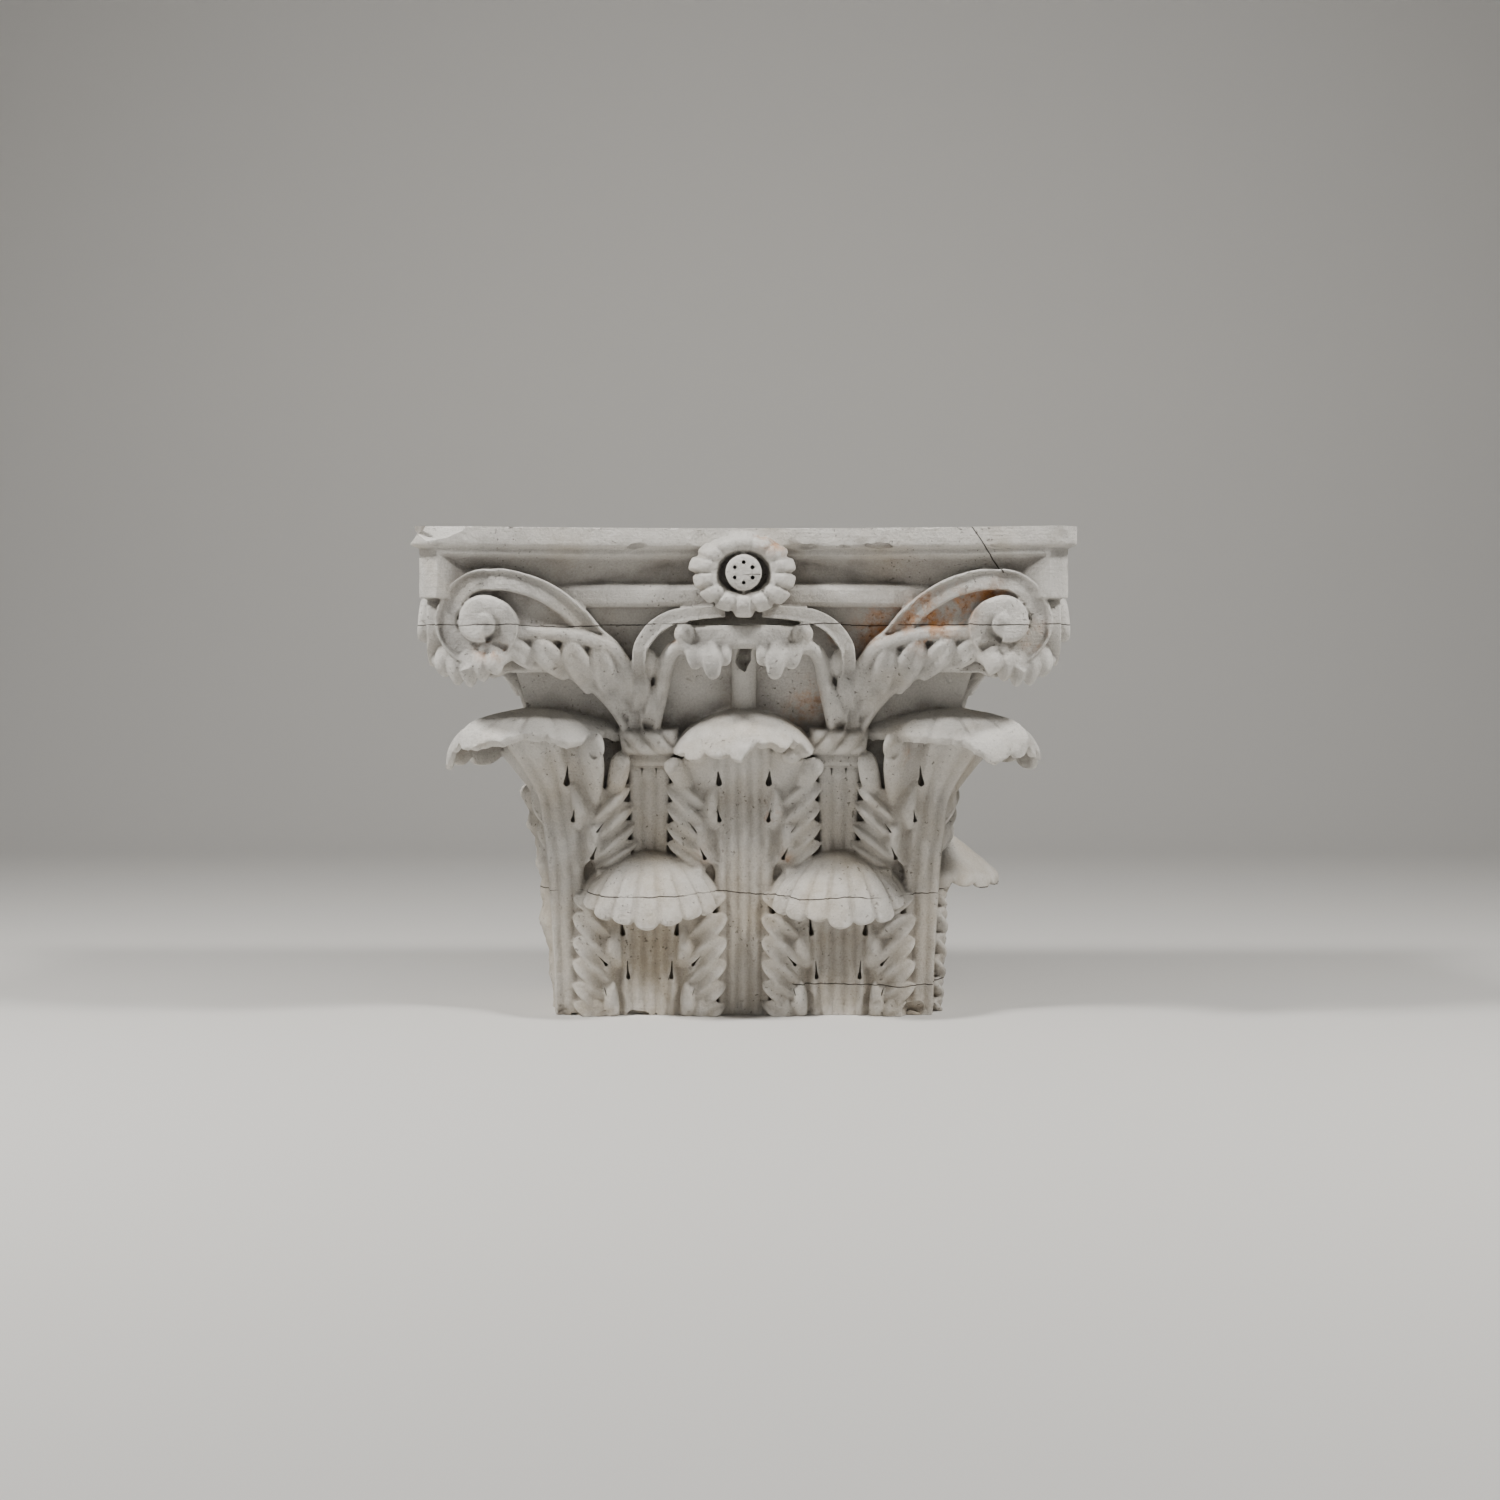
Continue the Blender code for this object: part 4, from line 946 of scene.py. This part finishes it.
def makeLimestone():
    tree = limestone.node_tree
    shader = tree.nodes["Principled BSDF"]
    place = addNode(tree, "ShaderNodeTexCoord").outputs["Object"]
    axes = addNode(tree, "ShaderNodeSeparateXYZ", {0: place}).outputs

    def maths(operation, first, second=0.0, third=0.0):
        node = addNode(tree, "ShaderNodeMath", {0: first, 1: second, 2: third}, operation=operation)
        return node.outputs[0]

    def noise(scale, detail=3.0, vector=None, rough=0.55):
        node = addNode(tree, "ShaderNodeTexNoise", {"Vector": vector or place, "Scale": scale,
                                                    "Detail": detail, "Roughness": rough})
        return node.outputs[0]

    def ramp(value, low, high, bottom=0.0, top=1.0):
        node = addNode(tree, "ShaderNodeMapRange", {"Value": value, "From Min": low, "From Max": high,
                                                    "To Min": bottom, "To Max": top})
        return node.outputs[0]

    def mixed(share, first, second, blend="MIX"):
        node = addNode(tree, "ShaderNodeMix", {0: share, 6: first, 7: second}, data_type="RGBA",
                       blend_type=blend)
        return node.outputs[2]

    def stretched(x, y, z):
        node = addNode(tree, "ShaderNodeVectorMath", {0: place, 1: (x, y, z)}, operation="MULTIPLY")
        return node.outputs[0]

    def painted(label):
        return addNode(tree, "ShaderNodeAttribute", attribute_name=label).outputs["Fac"]

    # cool pale stone above, warmer and browner towards the foot, in clouds some 80 mm across
    height01 = ramp(axes[2], 0.0, 0.42)
    clouds = noise(12.0, 4.0)
    warmth = ramp(maths("SUBTRACT", clouds, maths("MULTIPLY", height01, 0.34)), 0.16, 0.62)
    colour = mixed(warmth, toLinear(stone["pale"]), toLinear(stone["warm"]))
    colour = mixed(ramp(noise(5.0, 3.0), 0.50, 0.72, 0.0, 0.6), colour, toLinear(stone["grey"]))
    # grains of 1 to 3 mm, lighter and darker than the stone
    colour = mixed(ramp(noise(420.0, 4.0, rough=0.7), 0.35, 0.65, 0.0, 0.22), colour, toLinear(stone["dirtAndShade"]))
    # worn edges are paler; hollows are darkened, partly as soot and dust, partly as painted shade
    colour = mixed(maths("MULTIPLY", painted("edge"), ramp(noise(60.0), 0.35, 0.6, 0.1, 0.7)), colour,
                   toLinear(stone["fresh"]))
    # this mask darkens concave places: real dirt and painted shade together
    sootAndShade = maths("MULTIPLY", painted("hollow"), ramp(noise(38.0), 0.25, 0.70, 0.55, 1.0))
    colour = mixed(maths("MULTIPLY", sootAndShade, 0.80), colour, toLinear(stone["dirtAndShade"]))
    # rust has bled out of the stone in ragged spots
    bleed = maths("MULTIPLY", painted("stain"), ramp(noise(46.0, 5.0, rough=0.65), 0.44, 0.62))
    colour = mixed(maths("MULTIPLY", bleed, 0.85), colour, toLinear(stone["rust"]))
    colour = mixed(maths("MULTIPLY", bleed, ramp(noise(140.0), 0.50, 0.66)), colour,
                   toLinear(stone["deepRust"]))
    # hairline cracks along the bed of the stone and one across the abacus
    wander = maths("SUBTRACT", noise(14.0, 5.0, vector=stretched(1, 1, 0.2)), 0.5)
    lines = None
    for z, reach, left, right in cracks:
        off = maths("ADD", maths("SUBTRACT", axes[2], z), maths("MULTIPLY", wander, reach * 4))
        off = maths("ABSOLUTE", off)
        line = ramp(off, 0.0002, 0.0008, 1.0, 0.0)
        line = maths("MULTIPLY", line, maths("GREATER_THAN", axes[0], left))
        line = maths("MULTIPLY", line, maths("LESS_THAN", axes[0], right))
        line = maths("MULTIPLY", line, ramp(noise(9.0 + 20 * z), 0.40, 0.50))
        lines = line if lines is None else maths("MAXIMUM", lines, line)
    across = maths("MULTIPLY", maths("SUBTRACT", axes[0], slantCrack["x"]), slantCrack["slope"])
    slant = maths("ADD", across, maths("SUBTRACT", axes[2], slantCrack["z"]))
    slant = maths("ABSOLUTE", maths("ADD", slant, maths("MULTIPLY", wander, 0.020)))
    above = maths("GREATER_THAN", axes[2], slantCrack["above"])
    slant = maths("MULTIPLY", ramp(slant, 0.0005, 0.0016, 1.0, 0.0), above)
    lines = maths("MAXIMUM", lines, slant)
    colour = mixed(maths("MULTIPLY", lines, 0.85), colour, toLinear(stone["crack"]))
    # open pits, in patches
    pits = maths("MULTIPLY", ramp(noise(210.0, 2.0, rough=0.45), 0.665, 0.715),
                 ramp(noise(16.0, 3.0), 0.44, 0.60))
    colour = mixed(maths("MULTIPLY", pits, 0.50), colour, toLinear(stone["dirtAndShade"]))
    tree.links.new(colour, shader.inputs["Base Color"])
    shader.inputs["Roughness"].default_value = stone["roughness"]
    shader.inputs["Specular IOR Level"].default_value = 0.25
    # the surface the eye reads: gritty, with faint level strokes of the drag and the pits and cracks cut in
    grit = maths("MULTIPLY", noise(260.0, 5.0, rough=0.65), 0.0016)
    strokes = maths("MULTIPLY", noise(1.0, 3.0, vector=stretched(16, 16, 420)), 0.0006)
    relief = maths("ADD", grit, strokes)
    relief = maths("ADD", relief, maths("MULTIPLY", noise(70.0, 4.0), 0.0026))
    relief = maths("SUBTRACT", relief, maths("MULTIPLY", pits, 0.0016))
    relief = maths("SUBTRACT", relief, maths("MULTIPLY", lines, 0.0020))
    bump = addNode(tree, "ShaderNodeBump", {"Height": relief, "Distance": 1.0, "Strength": 1.0})
    tree.links.new(bump.outputs[0], shader.inputs["Normal"])


carveAll()
copies, copyKeys = copiesTree()
weather, weatherKeys = weatherTree()
capital = meshOf("capital_stone", skins)
print("carved skins:", len(skins))
fuse = capital.modifiers.new("fuse", "REMESH")
fuse.mode = "VOXEL"
fuse.voxel_size = block["voxel"]
settled(capital)
print("fused faces:", len(capital.data.polygons))
outerShell(capital)

limestone = bpy.data.materials.new("weathered_limestone")
places, angles, sizes = [], [], []
for turn, point, size in breaks + edgeChips():
    places.append(worldPlace(point, turn))
    angles.append((0, 0, math.radians(turn)))
    sizes.append(size)
rubble = pointCloud("breaks", places, {"turned": angles, "sized": sizes})
lump = lumpCutter()
grow(rubble, copies, copyKeys, {"Copy": lump, "Stone": limestone, "Rough": 0.016, "Seed": 3.0})
cut(capital, rubble)
for holes, tool in ((False, drillCutter()), (True, holeCutter())):
    marks = [m for m in drillMarks if (m[3] is None) == holes]
    places = [worldPlace(point, turn) for turn, point, lean, size, face in marks]
    angles = [(0, math.radians(lean), math.radians(face)) for turn, point, lean, size, face in marks]
    sizes = [(1, 1, 1) if holes else (size[0], 1, size[1]) for turn, point, lean, size, face in marks]
    drilled = pointCloud("drilled", places, {"turned": angles, "sized": sizes})
    grow(drilled, copies, copyKeys, {"Copy": tool, "Stone": limestone, "Rough": 0.0, "Seed": 0.0})
    cut(capital, drilled)
    bpy.data.objects.remove(tool, do_unlink=True)
bpy.data.objects.remove(lump, do_unlink=True)
print("drilled and broken:", len(drillMarks), "marks,", len(capital.data.polygons), "faces")
grow(capital, weather, weatherKeys, {"Wear": 0.0022, "Grain": 0.0005, "Pits": 0.0014, "Stone": limestone})
# the saw has small cells, so that the beds and the back come out as small faces
cells = bmesh.new()
bmesh.ops.create_cube(cells, size=1)
bmesh.ops.subdivide_edges(cells, edges=cells.edges, cuts=31, use_grid_fill=True)
sawnMesh = bpy.data.meshes.new("saw")
cells.to_mesh(sawnMesh)
cells.free()
sawn = bpy.data.objects.new("saw", sawnMesh)
bpy.context.scene.collection.objects.link(sawn)
wide, deep = 2 * abacus["horn"] + 0.1, 2 * abacus["horn"]
sawMiddle = (0, block["wallY"] - deep / 2, height / 2)
sawn.data.transform(Matrix.LocRotScale(sawMiddle, None, (wide, deep, height)))
cut(capital, sawn, "INTERSECT")
thin = capital.modifiers.new("thin", "DECIMATE")
thin.ratio = min(1.0, block["triangles"] / sum(len(p.vertices) - 2 for p in capital.data.polygons))
settled(capital)
points = np.empty(len(capital.data.vertices) * 3, np.float32)
capital.data.vertices.foreach_get("co", points)
points = np.clip(points.reshape(-1, 3), tuple(solidLow), tuple(solidHigh))
capital.data.vertices.foreach_set("co", points.ravel())
capital.data.update()
capital.data.shade_smooth()
capital.data.set_sharp_from_angle(angle=math.radians(50))   # keeps the sawn faces flat to the eye
print("finished triangles:", sum(len(p.vertices) - 2 for p in capital.data.polygons))

limestone.use_nodes = True
paintStone(capital)
makeLimestone()
capital.data.materials.clear()
capital.data.materials.append(limestone)
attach(capital, "root")
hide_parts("capital")

studio = {
    "floor": "#D8D6D2",
    "camera": (0.0075, -3.0565, 0.456),
    "focal": 2360.0,           # pixels of the 1500 pixel frame
    "shift": -102 / 1500,
}


def makeStudio():
    reach, back, bend = 15.0, 2.2, 1.2
    profile = [(-reach, 0.0), (back, 0.0)]
    for i in range(1, 13):
        angle = math.radians(7.5 * i)
        profile.append((back + bend * math.sin(angle), bend * (1 - math.cos(angle))))
    profile.append((back + bend, 5.0))
    floorZ = -0.0005
    verts = [(x, y, z + floorZ) for y, z in profile for x in (-reach, reach)]
    faces = [(2 * i, 2 * i + 1, 2 * i + 3, 2 * i + 2) for i in range(len(profile) - 1)]
    mesh = bpy.data.meshes.new("backdrop")
    mesh.from_pydata(verts, [], faces)
    mesh.shade_smooth()
    backdrop = bpy.data.objects.new("backdrop", mesh)
    bpy.context.scene.collection.objects.link(backdrop)
    paper = bpy.data.materials.new("pale_paper")
    paper.use_nodes = True
    paper.node_tree.nodes["Principled BSDF"].inputs["Base Color"].default_value = toLinear(studio["floor"])
    paper.node_tree.nodes["Principled BSDF"].inputs["Roughness"].default_value = 0.95
    mesh.materials.append(paper)


def addLight(name, place, size, power, colour="#FFFFFF"):
    light = bpy.data.lights.new(name, "AREA")
    light.energy = power
    light.size = size
    light.color = toLinear(colour)[:3]
    lamp = bpy.data.objects.new(name, light)
    bpy.context.scene.collection.objects.link(lamp)
    lamp.location = place
    aim = -lamp.location
    aim.z += 0.3
    lamp.rotation_euler = aim.to_track_quat("-Z", "Y").to_euler()


makeStudio()
addLight("key_left", (-1.6, -1.0, 2.2), 0.4, 78, "#FFFDFA")
addLight("key_right", (1.7, -1.1, 2.3), 0.4, 72, "#FFFDFA")
addLight("fill_front", (0.0, -3.6, 1.6), 2.0, 9)
world = bpy.data.worlds.new("studio_air")
world.use_nodes = True
world.node_tree.nodes["Background"].inputs["Color"].default_value = toLinear("#8E9094")
world.node_tree.nodes["Background"].inputs["Strength"].default_value = 0.11
bpy.context.scene.world = world
cameraData = bpy.data.cameras.new("camera")
cameraData.sensor_width = 36
cameraData.lens = 36 * studio["focal"] / 1500
cameraData.shift_y = studio["shift"]
camera = bpy.data.objects.new("camera", cameraData)
bpy.context.scene.collection.objects.link(camera)
camera.location = studio["camera"]
camera.rotation_euler = (math.radians(90), 0, 0)
bpy.context.scene.camera = camera
